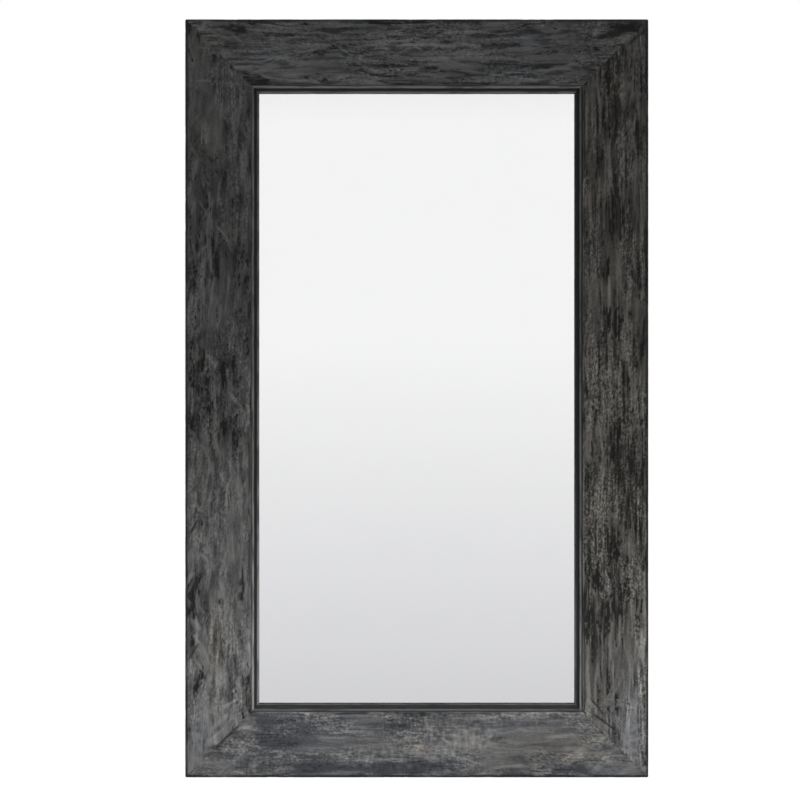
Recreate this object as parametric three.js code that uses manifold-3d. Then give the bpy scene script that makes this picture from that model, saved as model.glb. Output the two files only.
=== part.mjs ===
// Leaning floor mirror: a broad, flat, mitred frame with a stepped inner slip, a silvered sheet of
// glass behind it, a backing panel, and the steel fittings on its back.
// Millimetres. X runs across, Z up, and the face looks along -Y. The origin is the middle of the flat
// underside of the bottom rail, at half the frame's depth.

import * as THREE from 'three';
import { mergeVertices } from 'three/addons/utils/BufferGeometryUtils.js';
import Module from 'manifold-3d';

const wasm = await Module();
wasm.setup();

// ---------------------------------------------------------------- driving dimensions
// Whole frame
const FRAME_WIDTH = 1100;
const FRAME_HEIGHT = 1800;
const FRAME_DEPTH = 40;
const FIT_GAP = 0.3;                 // between a piece and the slot, hole or neighbour it is fitted to

// Frame boards
const BOARD_WIDTH = 157;             // outer edge to inner arris
const OUTER_ROUND = 7;               // round-over of the outer front edge
const BACK_ROUND = 2;                // eased outer back edge
const ARRIS_ROUND = 1.2;             // worn inner front arris
const CORNER_ROUND = 4;              // the frame's four corners, seen from the front
const REBATE_WIDTH = 10;             // rebate behind the inner edge, measured outwards
const REBATE_LIP = 14;               // wood left in front of the rebate

// Slip: the moulding between board and glass
const BEAD_WIDTH = 7;
const BEAD_DROP = 0.5;               // crest of the bead below the frame's face
const BEAD_ROUND = 1.6;
const COVE_WIDTH = 7;
const LIP_WIDTH = 4;
const LIP_DROP = 11.5;               // front of the lip below the frame's face
const LIP_ROUND = 0.8;
const GLASS_COVER = 9;               // how far the lip covers the edge of the glass
const GLASS_ROOM = 1;                // play beside the glass

// Mirror and backing
const GLASS_DROP = 17;               // front of the glass below the frame's face
const GLASS_THICKNESS = 5;
const SILVERING_THICKNESS = 0.25;
const PANEL_THICKNESS = 6;
const PANEL_ROOM = 1;                // play beside the panel

// Loose tongues across the mitres
const TONGUE_LENGTH = 130;
const TONGUE_WIDTH = 24;
const TONGUE_THICKNESS = 4;
const TONGUE_DROP = 14.5;            // front of the tongue below the frame's face
const TONGUE_INSET = 78;             // its middle, from each outer edge

// Corner braces
const BRACE_LEG = 100;
const BRACE_WIDTH = 20;
const BRACE_THICKNESS = 2.5;
const BRACE_ROUND = 5;
const BRACE_INSET = 50;              // brace's outer edges, from the frame's outer edges
const BRACE_HOLES = [38, 86];        // along each leg, from the outer edge of the other

// Strap hangers
const HANGER_DROP = 450;             // pivot below the top of the frame
const HANGER_INSET = 80;             // middle of the strap, from the frame's outer edge
const STRAP_WIDTH = 15;
const STRAP_LENGTH = 52;             // below the pivot
const STRAP_THICKNESS = 2.5;         // two layers of folded strip
const EYE_WALL = 1.25;
const STRAP_HOLES = [30, 43];        // below the pivot
const RING_WIRE = 2;                 // radius of the wire
const RING_HALF_WIDTH = 11;          // pivot leg's middle to the side's centre line
const RING_SIDE = 8;                 // straight side below the pivot
const RING_BEND = 3;                 // bend between pivot leg and side

// Bumpers
const BUMPER_BASE = 11;              // radius on the wood
const BUMPER_FACE = 9;               // radius at the free end
const BUMPER_HEIGHT = 10;
const BUMPER_ROUND = 1.5;
const BUMPER_INSET = 24;             // middle, from the frame's outer edges

// Screws: shank radius, length, head radius and head height
const BRACE_SCREW = { shank: 2, length: 16, head: 4, rise: 2 };
const STRAP_SCREW = { shank: 2, length: 18, head: 3.8, rise: 2.4 };
const PANEL_SCREW = { shank: 1.6, length: 12, head: 3.4, rise: 2 };
const SCREW_POINT = 3;               // length of the tapered point
const PANEL_SCREW_INSET = 8;         // from the panel's edge
const PANEL_SCREWS_ACROSS = 2;       // along the top, and along the bottom
const PANEL_SCREWS_UP = 4;           // along each side
const PANEL_SCREW_END = 90;          // first and last screw, from the end of the panel's edge

// Fineness of curves
const ROUND_STEPS = 5;
const TURN_STEPS = 10;               // round a screw
const BUMPER_STEPS = 20;
const RING_STEPS = 32;
const WIRE_SIDES = 8;

// ---------------------------------------------------------------- derived places
const FACE_Y = -FRAME_DEPTH / 2;
const BACK_Y = FRAME_DEPTH / 2;
const SIGHT_INSET = BOARD_WIDTH + FIT_GAP + BEAD_WIDTH + COVE_WIDTH + LIP_WIDTH - FIT_GAP;
const REBATE_INSET = BOARD_WIDTH - REBATE_WIDTH;
const GLASS_REBATE_INSET = SIGHT_INSET - GLASS_COVER - GLASS_ROOM;
const SLIP_BACK_DROP = GLASS_DROP + GLASS_THICKNESS + SILVERING_THICKNESS;
const PANEL_INSET = REBATE_INSET + PANEL_ROOM;
const PANEL_BACK_Y = FACE_Y + SLIP_BACK_DROP + PANEL_THICKNESS;
const MITRE_SETBACK = (FIT_GAP / 2) * Math.SQRT2;

const EYE_BORE = RING_WIRE + FIT_GAP;
const PIVOT_RISE = EYE_BORE + EYE_WALL;
const PIVOT_Z = FRAME_HEIGHT - HANGER_DROP;
const ringReachAtStrapEdge = RING_SIDE + Math.sqrt(RING_HALF_WIDTH ** 2 - (STRAP_WIDTH / 2) ** 2);
const ringLift = STRAP_THICKNESS + FIT_GAP + RING_WIRE - PIVOT_RISE;
const RING_REST_TILT = Math.asin(ringLift / ringReachAtStrapEdge) + THREE.MathUtils.degToRad(0.5);

// ---------------------------------------------------------------- solids and cuts
function asSolid(geometry) {
  const bare = geometry.clone();
  bare.deleteAttribute('normal');
  bare.deleteAttribute('uv');
  const merged = mergeVertices(bare, 1e-4);
  return new wasm.Manifold(new wasm.Mesh({
    numProp: 3,
    vertProperties: new Float32Array(merged.attributes.position.array),
    triVerts: new Uint32Array(merged.index.array),
  }));
}

function asGeometry(solid) {
  const mesh = solid.getMesh();
  const geometry = new THREE.BufferGeometry();
  geometry.setAttribute('position', new THREE.BufferAttribute(mesh.vertProperties, 3));
  geometry.setIndex(new THREE.BufferAttribute(mesh.triVerts, 1));
  geometry.computeVertexNormals();
  return geometry;
}

function cutAway(geometry, cutters) {
  let solid = asSolid(geometry);
  for (const cutter of cutters) solid = solid.subtract(asSolid(cutter));
  return asGeometry(solid);
}

// A shape drawn in X and Z, extruded along Y between two depths.
function plate(shape, yFront, yBack, curveSegments = ROUND_STEPS) {
  const geometry = new THREE.ExtrudeGeometry(shape, {
    depth: yBack - yFront, bevelEnabled: false, curveSegments,
  });
  return geometry.rotateX(Math.PI / 2).translate(0, yBack, 0);
}

function turned(profile, steps) {
  return new THREE.LatheGeometry(profile.map(([r, y]) => new THREE.Vector2(r, y)), steps);
}

// ---------------------------------------------------------------- mitred sticks
// A stick's section is drawn with x as the distance in from the frame's outer edge and y as the drop
// below its face. Each end is cut back by that distance, which gives the 45 degree mitre.
// The stick lies along X with its outer edge on z = 0.
function mitredStick(section, length) {
  const geometry = new THREE.ExtrudeGeometry(section, {
    depth: 1, bevelEnabled: false, curveSegments: ROUND_STEPS,
  });
  const position = geometry.attributes.position;
  for (let i = 0; i < position.count; i += 1) {
    const inset = position.getX(i);
    const drop = position.getY(i);
    const end = 1 - 2 * position.getZ(i);
    position.setXYZ(i, end * (length / 2 - inset - MITRE_SETBACK), FACE_Y + drop, inset);
  }
  return geometry;
}

function boardSection() {
  const section = new THREE.Shape();
  section.moveTo(0, OUTER_ROUND);
  section.absarc(OUTER_ROUND, OUTER_ROUND, OUTER_ROUND, Math.PI, 1.5 * Math.PI);
  section.lineTo(BOARD_WIDTH - ARRIS_ROUND, 0);
  section.absarc(BOARD_WIDTH - ARRIS_ROUND, ARRIS_ROUND, ARRIS_ROUND, -Math.PI / 2, 0);
  section.lineTo(BOARD_WIDTH, REBATE_LIP);
  section.lineTo(REBATE_INSET, REBATE_LIP);
  section.lineTo(REBATE_INSET, FRAME_DEPTH);
  section.lineTo(BACK_ROUND, FRAME_DEPTH);
  section.absarc(BACK_ROUND, FRAME_DEPTH - BACK_ROUND, BACK_ROUND, Math.PI / 2, Math.PI);
  return section;
}

// Bead beside the board, a hollow cove down from it, and a flat lip over the glass; behind, a flange
// that fills the board's rebate and a rebate of its own for the glass.
function slipSection() {
  const beadStart = BOARD_WIDTH + FIT_GAP;
  const beadEnd = BOARD_WIDTH + BEAD_WIDTH;
  const coveEnd = beadEnd + COVE_WIDTH;
  const coveTop = BEAD_DROP + BEAD_ROUND;
  const section = new THREE.Shape();
  section.moveTo(REBATE_INSET + FIT_GAP, REBATE_LIP);
  section.lineTo(beadStart, REBATE_LIP);
  section.lineTo(beadStart, coveTop);
  section.absarc(beadStart + BEAD_ROUND, coveTop, BEAD_ROUND, Math.PI, 1.5 * Math.PI);
  section.lineTo(beadEnd - BEAD_ROUND, BEAD_DROP);
  section.absarc(beadEnd - BEAD_ROUND, coveTop, BEAD_ROUND, -Math.PI / 2, 0);
  section.quadraticCurveTo(beadEnd + 0.3 * COVE_WIDTH, LIP_DROP, coveEnd, LIP_DROP);
  section.lineTo(SIGHT_INSET - LIP_ROUND, LIP_DROP);
  section.absarc(SIGHT_INSET - LIP_ROUND, LIP_DROP + LIP_ROUND, LIP_ROUND, -Math.PI / 2, 0);
  section.lineTo(SIGHT_INSET, GLASS_DROP);
  section.lineTo(GLASS_REBATE_INSET, GLASS_DROP);
  section.lineTo(GLASS_REBATE_INSET, SLIP_BACK_DROP);
  section.lineTo(REBATE_INSET + FIT_GAP, SLIP_BACK_DROP);
  return section;
}

// ---------------------------------------------------------------- screws
// A screw stands along Y, its point forward. Under the head is y = 0.
function panScrew({ shank, length, head, rise }) {
  return turned([
    [0, -length], [shank, SCREW_POINT - length], [shank, 0], [head, 0],
    [head, 0.4 * rise], [0.65 * head, rise], [0, rise],
  ], TURN_STEPS);
}

function flatScrew({ shank, length, head, rise }) {
  return turned([
    [0, -length], [shank, SCREW_POINT - length], [shank, -rise], [head, 0], [0, 0],
  ], TURN_STEPS);
}

// The hole for a screw's shank, from a little past its point to above its head.
function shankHole({ shank, length }, clearAbove) {
  const radius = shank + FIT_GAP;
  return turned([
    [0, -length - FIT_GAP], [radius, -length - FIT_GAP], [radius, clearAbove], [0, clearAbove],
  ], TURN_STEPS);
}

// A hole with a funnel for a flat head, which keeps the fitting gap to the head's cone.
function funnelHole({ shank, head, rise }, depth) {
  return turned([
    [0, -depth], [shank + FIT_GAP, -depth], [shank + FIT_GAP, -rise],
    [head + FIT_GAP, 0], [head + FIT_GAP, rise], [0, rise],
  ], TURN_STEPS);
}

// ---------------------------------------------------------------- corner pieces
// Each corner's pieces are set out from the frame's outer corner, with both members running along
// +X and +Z from it. A turn about Y puts them in the other corners.
const CORNERS = [
  { name: 'bottom_left', x: -FRAME_WIDTH / 2, z: 0, turn: 0 },
  { name: 'bottom_right', x: FRAME_WIDTH / 2, z: 0, turn: -Math.PI / 2 },
  { name: 'top_right', x: FRAME_WIDTH / 2, z: FRAME_HEIGHT, turn: Math.PI },
  { name: 'top_left', x: -FRAME_WIDTH / 2, z: FRAME_HEIGHT, turn: Math.PI / 2 },
];

function braceHolePlaces() {
  const middle = BRACE_INSET + BRACE_WIDTH / 2;
  return BRACE_HOLES.flatMap((along) => [
    [BRACE_INSET + along, middle],
    [middle, BRACE_INSET + along],
  ]);
}

function braceShape() {
  const outer = BRACE_INSET;
  const inner = BRACE_INSET + BRACE_WIDTH;
  const tip = BRACE_INSET + BRACE_LEG;
  const r = BRACE_ROUND;
  const shape = new THREE.Shape();
  shape.moveTo(outer + r, outer);
  shape.lineTo(tip - r, outer);
  shape.absarc(tip - r, outer + r, r, -Math.PI / 2, 0);
  shape.lineTo(tip, inner - r);
  shape.absarc(tip - r, inner - r, r, 0, Math.PI / 2);
  shape.lineTo(inner, inner);
  shape.lineTo(inner, tip - r);
  shape.absarc(inner - r, tip - r, r, 0, Math.PI / 2);
  shape.lineTo(outer + r, tip);
  shape.absarc(outer + r, tip - r, r, Math.PI / 2, Math.PI);
  shape.lineTo(outer, outer + r);
  shape.absarc(outer + r, outer + r, r, Math.PI, 1.5 * Math.PI);
  return shape;
}

function brace() {
  const faceY = BACK_Y + BRACE_THICKNESS;
  const holes = braceHolePlaces().map(([x, z]) => (
    funnelHole(BRACE_SCREW, BRACE_THICKNESS + 1).translate(x, faceY, z)
  ));
  return cutAway(plate(braceShape(), BACK_Y, faceY, 3), holes);
}

// A tongue with round ends, along the mitre. grow widens it all round, to cut its slot.
function tongue(grow = 0) {
  const halfWidth = TONGUE_WIDTH / 2 + grow;
  const straight = (TONGUE_LENGTH - TONGUE_WIDTH) / 2;
  const shape = new THREE.Shape();
  shape.moveTo(-straight, -halfWidth);
  shape.absarc(straight, 0, halfWidth, -Math.PI / 2, Math.PI / 2);
  shape.absarc(-straight, 0, halfWidth, Math.PI / 2, 1.5 * Math.PI);
  const front = FACE_Y + TONGUE_DROP;
  return plate(shape, front - grow, front + TONGUE_THICKNESS + grow)
    .rotateY(-Math.PI / 4)
    .translate(TONGUE_INSET, 0, TONGUE_INSET);
}

function bumper() {
  const shoulder = BUMPER_HEIGHT - BUMPER_ROUND;
  return turned([
    [0, 0], [BUMPER_BASE, 0], [BUMPER_FACE, shoulder],
    [BUMPER_FACE - 0.3 * BUMPER_ROUND, BUMPER_HEIGHT - 0.3 * BUMPER_ROUND],
    [BUMPER_FACE - BUMPER_ROUND, BUMPER_HEIGHT], [0, BUMPER_HEIGHT],
  ], BUMPER_STEPS).translate(BUMPER_INSET, BACK_Y, BUMPER_INSET);
}

// The sliver outside the rounded corner, as a cutter.
function cornerSliver() {
  const r = CORNER_ROUND;
  const past = 1;
  const shape = new THREE.Shape();
  shape.moveTo(-past, -past);
  shape.lineTo(r, -past);
  shape.lineTo(r, 0);
  shape.absarc(r, r, r, 1.5 * Math.PI, Math.PI, true);
  shape.lineTo(-past, r);
  return plate(shape, FACE_Y - past, BACK_Y + past);
}

// What the corner takes out of the boards that meet there.
function cornerCutters() {
  const holes = braceHolePlaces().map(([x, z]) => (
    shankHole(BRACE_SCREW, 2 * BRACE_THICKNESS).translate(x, BACK_Y + BRACE_THICKNESS, z)
  ));
  return [cornerSliver(), tongue(FIT_GAP), ...holes];
}

// ---------------------------------------------------------------- boards and slips
// Rails and stiles are one stick, turned: local X runs along it and local Z points at the glass.
const SIDES = [
  { name: 'bottom', length: FRAME_WIDTH, x: 0, z: 0, turn: 0, screws: PANEL_SCREWS_ACROSS },
  { name: 'top', length: FRAME_WIDTH, x: 0, z: FRAME_HEIGHT, turn: Math.PI, screws: PANEL_SCREWS_ACROSS },
  { name: 'left', length: FRAME_HEIGHT, x: -FRAME_WIDTH / 2, z: FRAME_HEIGHT / 2, turn: Math.PI / 2,
    screws: PANEL_SCREWS_UP, hangerAlong: HANGER_DROP - FRAME_HEIGHT / 2 },
  { name: 'right', length: FRAME_HEIGHT, x: FRAME_WIDTH / 2, z: FRAME_HEIGHT / 2, turn: -Math.PI / 2,
    screws: PANEL_SCREWS_UP, hangerAlong: FRAME_HEIGHT / 2 - HANGER_DROP },
];

function board(side) {
  const end = side.length / 2;
  const cutters = [
    ...cornerCutters().map((cutter) => cutter.translate(-end, 0, 0)),
    ...cornerCutters().map((cutter) => cutter.rotateY(-Math.PI / 2).translate(end, 0, 0)),
  ];
  if (side.hangerAlong !== undefined) {
    const down = Math.sign(side.turn);
    for (const below of STRAP_HOLES) {
      cutters.push(shankHole(STRAP_SCREW, 2 * STRAP_THICKNESS)
        .translate(side.hangerAlong + down * below, BACK_Y + STRAP_THICKNESS, HANGER_INSET));
    }
  }
  return cutAway(mitredStick(boardSection(), side.length), cutters);
}

// Places of the panel's screws along one side, evenly spaced about its middle.
function panelScrewPlaces(side) {
  const span = side.length - 2 * (PANEL_INSET + PANEL_SCREW_END);
  return Array.from({ length: side.screws }, (_, i) => (i / (side.screws - 1) - 0.5) * span);
}

function panelScrewHole() {
  return shankHole(PANEL_SCREW, 2 * PANEL_THICKNESS);
}

function slip(side) {
  const holes = panelScrewPlaces(side).map((along) => (
    panelScrewHole().translate(along, PANEL_BACK_Y, PANEL_INSET + PANEL_SCREW_INSET)
  ));
  return cutAway(mitredStick(slipSection(), side.length), holes);
}

// ---------------------------------------------------------------- mirror and panel
function sheet(width, thickness, height) {
  return new THREE.BoxGeometry(width, thickness, height);
}

function backingPanel() {
  const width = FRAME_WIDTH - 2 * PANEL_INSET;
  const height = FRAME_HEIGHT - 2 * PANEL_INSET;
  const holes = SIDES.flatMap((side) => panelScrewPlaces(side).map((along) => (
    panelScrewHole()
      .translate(along, PANEL_THICKNESS / 2, PANEL_INSET + PANEL_SCREW_INSET)
      .rotateY(side.turn)
      .translate(side.x, 0, side.z - FRAME_HEIGHT / 2)
  )));
  return cutAway(sheet(width, PANEL_THICKNESS, height), holes);
}

// ---------------------------------------------------------------- strap hanger
// The folded strip, seen from its edge: u runs down from the pivot and v out from the wood.
function strap() {
  const neck = Math.asin((PIVOT_RISE - STRAP_THICKNESS) / PIVOT_RISE);
  const section = new THREE.Shape();
  section.moveTo(STRAP_LENGTH, 0);
  section.lineTo(STRAP_LENGTH, STRAP_THICKNESS);
  section.lineTo(PIVOT_RISE * Math.cos(neck), STRAP_THICKNESS);
  section.absarc(0, PIVOT_RISE, PIVOT_RISE, -neck, 1.5 * Math.PI);
  const eye = new THREE.Path();
  eye.absarc(0, PIVOT_RISE, EYE_BORE, 0, 2 * Math.PI);
  section.holes.push(eye);
  const folded = new THREE.ExtrudeGeometry(section, {
    depth: STRAP_WIDTH, bevelEnabled: false, curveSegments: 8,
  });
  folded.translate(0, 0, -STRAP_WIDTH / 2);
  folded.applyMatrix4(new THREE.Matrix4().makeBasis(
    new THREE.Vector3(0, 0, -1),
    new THREE.Vector3(0, 1, 0),
    new THREE.Vector3(1, 0, 0),
  ));

  const half = STRAP_WIDTH / 2;
  const plan = new THREE.Shape();
  plan.moveTo(half, 2 * PIVOT_RISE);
  plan.lineTo(-half, 2 * PIVOT_RISE);
  plan.lineTo(-half, half - STRAP_LENGTH);
  plan.absarc(0, half - STRAP_LENGTH, half, Math.PI, 2 * Math.PI);
  const outline = plate(plan, -1, 3 * PIVOT_RISE);
  const rounded = asGeometry(asSolid(folded).intersect(asSolid(outline)));
  return cutAway(rounded, STRAP_HOLES.map((below) => (
    shankHole(STRAP_SCREW, STRAP_THICKNESS).translate(0, STRAP_THICKNESS, -below)
  )));
}

// The ring's centre line: the pivot leg through the eye, two bends, two sides and a half round.
function ring() {
  const outline = new THREE.Path();
  outline.moveTo(0, 0);
  outline.lineTo(RING_HALF_WIDTH - RING_BEND, 0);
  outline.absarc(RING_HALF_WIDTH - RING_BEND, -RING_BEND, RING_BEND, Math.PI / 2, 0, true);
  outline.lineTo(RING_HALF_WIDTH, -RING_SIDE);
  outline.absarc(0, -RING_SIDE, RING_HALF_WIDTH, 0, -Math.PI, true);
  outline.lineTo(-RING_HALF_WIDTH, -RING_BEND);
  outline.absarc(RING_BEND - RING_HALF_WIDTH, -RING_BEND, RING_BEND, Math.PI, Math.PI / 2, true);
  outline.lineTo(0, 0);
  const points = outline.getSpacedPoints(RING_STEPS).slice(0, -1);
  const line = new THREE.CatmullRomCurve3(points.map((p) => new THREE.Vector3(p.x, 0, p.y)), true);
  return new THREE.TubeGeometry(line, RING_STEPS, RING_WIRE, WIRE_SIDES, true);
}

// ---------------------------------------------------------------- finishes
const FINISHES = {
  dryBrushedPaint: { color: 0x474746, roughness: 0.62, metalness: 0 },
  blackPaint: { color: 0x1e1f20, roughness: 0.5, metalness: 0 },
  mirrorGlass: { color: 0xe8eeee, roughness: 0.02, metalness: 0 },
  silvering: { color: 0xdfe1e2, roughness: 0.05, metalness: 1 },
  hardboard: { color: 0x6d5540, roughness: 0.85, metalness: 0 },
  beech: { color: 0xb08a5e, roughness: 0.8, metalness: 0 },
  zincedSteel: { color: 0xa9abab, roughness: 0.35, metalness: 1 },
  rubber: { color: 0x1b1b1b, roughness: 0.9, metalness: 0 },
};

function piece(name, geometry, finish, parent) {
  const mesh = new THREE.Mesh(geometry, new THREE.MeshStandardMaterial(FINISHES[finish]));
  mesh.name = name;
  parent.add(mesh);
  return mesh;
}

// ---------------------------------------------------------------- assembly
const floorMirror = new THREE.Group();

for (const side of SIDES) {
  const bay = new THREE.Group();
  bay.position.set(side.x, 0, side.z);
  bay.rotation.y = side.turn;
  floorMirror.add(bay);
  const member = side.hangerAlong === undefined ? 'rail' : 'stile';
  piece(`frame_${side.name}_${member}`, board(side), 'dryBrushedPaint', bay);
  piece(`slip_${side.name}`, slip(side), 'blackPaint', bay);
  panelScrewPlaces(side).forEach((along, i) => {
    piece(`panel_screw_${side.name}_${i + 1}`, panScrew(PANEL_SCREW), 'zincedSteel', bay)
      .position.set(along, PANEL_BACK_Y, PANEL_INSET + PANEL_SCREW_INSET);
  });
}

// The glass stands on the bottom slip's rebate and has its play at the sides and above.
const glassWidth = FRAME_WIDTH - 2 * (GLASS_REBATE_INSET + GLASS_ROOM);
const glassHeight = FRAME_HEIGHT - 2 * (GLASS_REBATE_INSET + GLASS_ROOM);
const glassMiddle = GLASS_REBATE_INSET + glassHeight / 2;
piece('mirror_glass', sheet(glassWidth, GLASS_THICKNESS, glassHeight), 'mirrorGlass', floorMirror)
  .position.set(0, FACE_Y + GLASS_DROP + GLASS_THICKNESS / 2, glassMiddle);
piece('mirror_silvering', sheet(glassWidth, SILVERING_THICKNESS, glassHeight), 'silvering', floorMirror)
  .position.set(0, FACE_Y + SLIP_BACK_DROP - SILVERING_THICKNESS / 2, glassMiddle);
piece('backing_panel', backingPanel(), 'hardboard', floorMirror)
  .position.set(0, PANEL_BACK_Y - PANEL_THICKNESS / 2, FRAME_HEIGHT / 2);

for (const corner of CORNERS) {
  const block = new THREE.Group();
  block.position.set(corner.x, 0, corner.z);
  block.rotation.y = corner.turn;
  floorMirror.add(block);
  piece(`mitre_tongue_${corner.name}`, tongue(), 'beech', block);
  piece(`corner_brace_${corner.name}`, brace(), 'zincedSteel', block);
  braceHolePlaces().forEach(([x, z], i) => {
    piece(`brace_screw_${corner.name}_${i + 1}`, flatScrew(BRACE_SCREW), 'zincedSteel', block)
      .position.set(x, BACK_Y + BRACE_THICKNESS, z);
  });
  piece(`bumper_${corner.name}`, bumper(), 'rubber', block);
}

for (const [hand, sign] of [['left', -1], ['right', 1]]) {
  const hanger = new THREE.Group();
  hanger.position.set(sign * (FRAME_WIDTH / 2 - HANGER_INSET), BACK_Y, PIVOT_Z);
  floorMirror.add(hanger);
  piece(`hanger_strap_${hand}`, strap(), 'zincedSteel', hanger);
  const hung = piece(`hanger_ring_${hand}`, ring(), 'zincedSteel', hanger);
  hung.position.y = PIVOT_RISE;
  hung.rotation.x = RING_REST_TILT;
  STRAP_HOLES.forEach((below, i) => {
    piece(`hanger_screw_${hand}_${i + 1}`, panScrew(STRAP_SCREW), 'zincedSteel', hanger)
      .position.set(0, STRAP_THICKNESS, -below);
  });
}

export default floorMirror;
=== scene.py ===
# %% [markdown]
# # A leaning floor mirror
# Four broad mitred boards, painted black, brushed over with grey and rubbed back, with a narrow black
# slip that steps down to silvered glass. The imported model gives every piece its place. This lesson
# gives the boards their worn surface, the slip its rubbed edges and the fittings their roundness.

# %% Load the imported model
import math

import bpy
import numpy as np
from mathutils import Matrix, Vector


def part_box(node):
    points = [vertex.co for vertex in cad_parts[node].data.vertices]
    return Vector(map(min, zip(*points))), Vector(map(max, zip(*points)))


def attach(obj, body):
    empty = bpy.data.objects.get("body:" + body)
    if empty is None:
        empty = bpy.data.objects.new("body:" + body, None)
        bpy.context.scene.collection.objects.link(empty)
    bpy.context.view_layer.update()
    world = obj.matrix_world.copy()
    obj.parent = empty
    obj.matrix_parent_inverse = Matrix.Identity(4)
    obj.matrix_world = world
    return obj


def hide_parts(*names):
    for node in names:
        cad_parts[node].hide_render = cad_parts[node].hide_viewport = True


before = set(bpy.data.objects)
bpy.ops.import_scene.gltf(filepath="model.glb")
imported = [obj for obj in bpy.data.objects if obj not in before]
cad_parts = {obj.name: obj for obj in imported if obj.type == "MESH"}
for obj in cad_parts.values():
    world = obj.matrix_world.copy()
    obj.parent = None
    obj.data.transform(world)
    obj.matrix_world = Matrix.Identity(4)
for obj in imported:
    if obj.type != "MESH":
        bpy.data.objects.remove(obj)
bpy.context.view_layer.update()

MM = 0.001

# %% [markdown]
# ## Sizes
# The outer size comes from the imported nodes. The sections' fine sizes are those that the boards and
# slips are cut to, so that each new surface lies exactly on its solid. All lengths are in metres.

# %% Sizes of the frame
def box_of(node):
    """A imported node's lowest and highest corners as arrays."""
    low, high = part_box(node)
    return np.array(low), np.array(high)


def nodes_named(start):
    return sorted(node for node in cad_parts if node.startswith(start))


stile_low, stile_high = box_of("frame_left_stile")
BOARD_WIDTH, DEPTH, _ = stile_high - stile_low
FRONT, BACK = stile_low[1], stile_high[1]
FRAME_WIDTH = 2 * abs(stile_low[0])
FRAME_HEIGHT = box_of("frame_top_rail")[1][2]

FIT_GAP = 0.3 * MM
MITRE_GAP = 0.12 * MM
OUTER_ROUND = 7 * MM
BACK_ROUND = 2 * MM
ARRIS_ROUND = 1.2 * MM
CORNER_ROUND = 6 * MM
REBATE_WIDTH = 10 * MM
REBATE_LIP = 14 * MM

BEAD_WIDTH = 7 * MM
BEAD_DROP = 0.5 * MM
BEAD_ROUND = 1.6 * MM
COVE_WIDTH = 7 * MM
LIP_DROP = 11.5 * MM
LIP_ROUND = 0.8 * MM
GLASS_DROP = 17 * MM
GLASS_COVER = 10 * MM
SLIP_BACK_DROP = 22.25 * MM
SIGHT_INSET = BOARD_WIDTH + BEAD_WIDTH + COVE_WIDTH + 4 * MM
print("board", round(BOARD_WIDTH / MM, 1), "mm wide; sight edge", round(SIGHT_INSET / MM, 1), "mm in")

# %% [markdown]
# ## Meshes from arrays
# Every new surface is a grid of points worked out by numpy in one go. These helpers close it, turn
# its faces outwards by the sign of its volume, and hang it on the body that carries it.

# %% Grid and mesh helpers
def grid_quads(rows, columns, wrap_rows=False):
    """Quads of a grid whose columns close on themselves: (r, c), (r, c+1), (r+1, c+1), (r+1, c)."""
    r, c = np.meshgrid(np.arange(rows if wrap_rows else rows - 1), np.arange(columns), indexing="ij")
    r_next, c_next = (r + 1) % rows, (c + 1) % columns
    corners = [r * columns + c, r * columns + c_next, r_next * columns + c_next, r_next * columns + c]
    return np.stack(corners, axis=-1).reshape(-1, 4).tolist()


def signed_volume(points, faces):
    """A sixth of the sum of a . (b x c) over every face's fan of triangles: above 0 if it faces out."""
    fans = np.array([(face[0], b, c) for face in faces for b, c in zip(face[1:], face[2:])])
    a, b, c = points[fans].transpose(1, 0, 2)
    return np.einsum("ij,ij->", a, np.cross(b, c)) / 6


def new_object(name, data):
    made = bpy.data.objects.new(name, data)
    bpy.context.scene.collection.objects.link(made)
    return made


def make_piece(name, points, faces, body, slot, nodes, sharp_degrees=38):
    """A closed mesh at the origin, smooth but for edges sharper than the angle, standing for CAD nodes."""
    if signed_volume(points, faces) < 0:
        faces = [face[::-1] for face in faces]
    mesh = bpy.data.meshes.new(name)
    mesh.from_pydata(points.tolist(), [], faces)
    mesh.polygons.foreach_set("use_smooth", np.ones(len(faces), dtype=bool))
    mesh.set_sharp_from_angle(angle=math.radians(sharp_degrees))
    mesh.update()
    piece = new_object(name, mesh)
    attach(piece, body)
    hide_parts(*nodes)
    print(name, "has", len(points), "points")
    return piece


def store(piece, name, values):
    """Keeps one number per point on the mesh, for its material to read."""
    layer = piece.data.attributes.new(name, "FLOAT", "POINT")
    layer.data.foreach_set("value", np.asarray(values, dtype=np.float32).ravel())


def store_uv(piece, u, v):
    """Lays the mesh out flat: u runs along the stick and v round its section, both in metres."""
    corner_points = np.empty(len(piece.data.loops), dtype=np.int64)
    piece.data.loops.foreach_get("vertex_index", corner_points)
    pairs = np.column_stack([u.ravel()[corner_points], v.ravel()[corner_points]])
    piece.data.uv_layers.new(name="stick").data.foreach_set("uv", pairs.astype(np.float32).ravel())

# %% [markdown]
# ## Random fields
# Brushed paint is layers of long soft streaks of different sizes. Value noise gives them: random
# numbers on the corners of a lattice, blended between. The lattice is stretched along the stick, so
# its cells become streaks. Fixed seeds make every run the same.

# %% Streaks of noise
def lattice_noise(x, y, seed):
    """Random numbers at whole x and y, blended by 6t^5 - 15t^4 + 10t^3 between them; 0 to 1."""
    x, y = np.broadcast_arrays(x, y)
    x = x - np.floor(x.min())
    y = y - np.floor(y.min())
    column, row = x.astype(int), y.astype(int)
    lattice = np.random.default_rng(seed).random((column.max() + 2, row.max() + 2))
    tx, ty = (t ** 3 * (t * (t * 6 - 15) + 10) for t in (x - column, y - row))
    low = lattice[column, row] * (1 - tx) + lattice[column + 1, row] * tx
    high = lattice[column, row + 1] * (1 - tx) + lattice[column + 1, row + 1] * tx
    return low * (1 - ty) + high * ty


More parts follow.
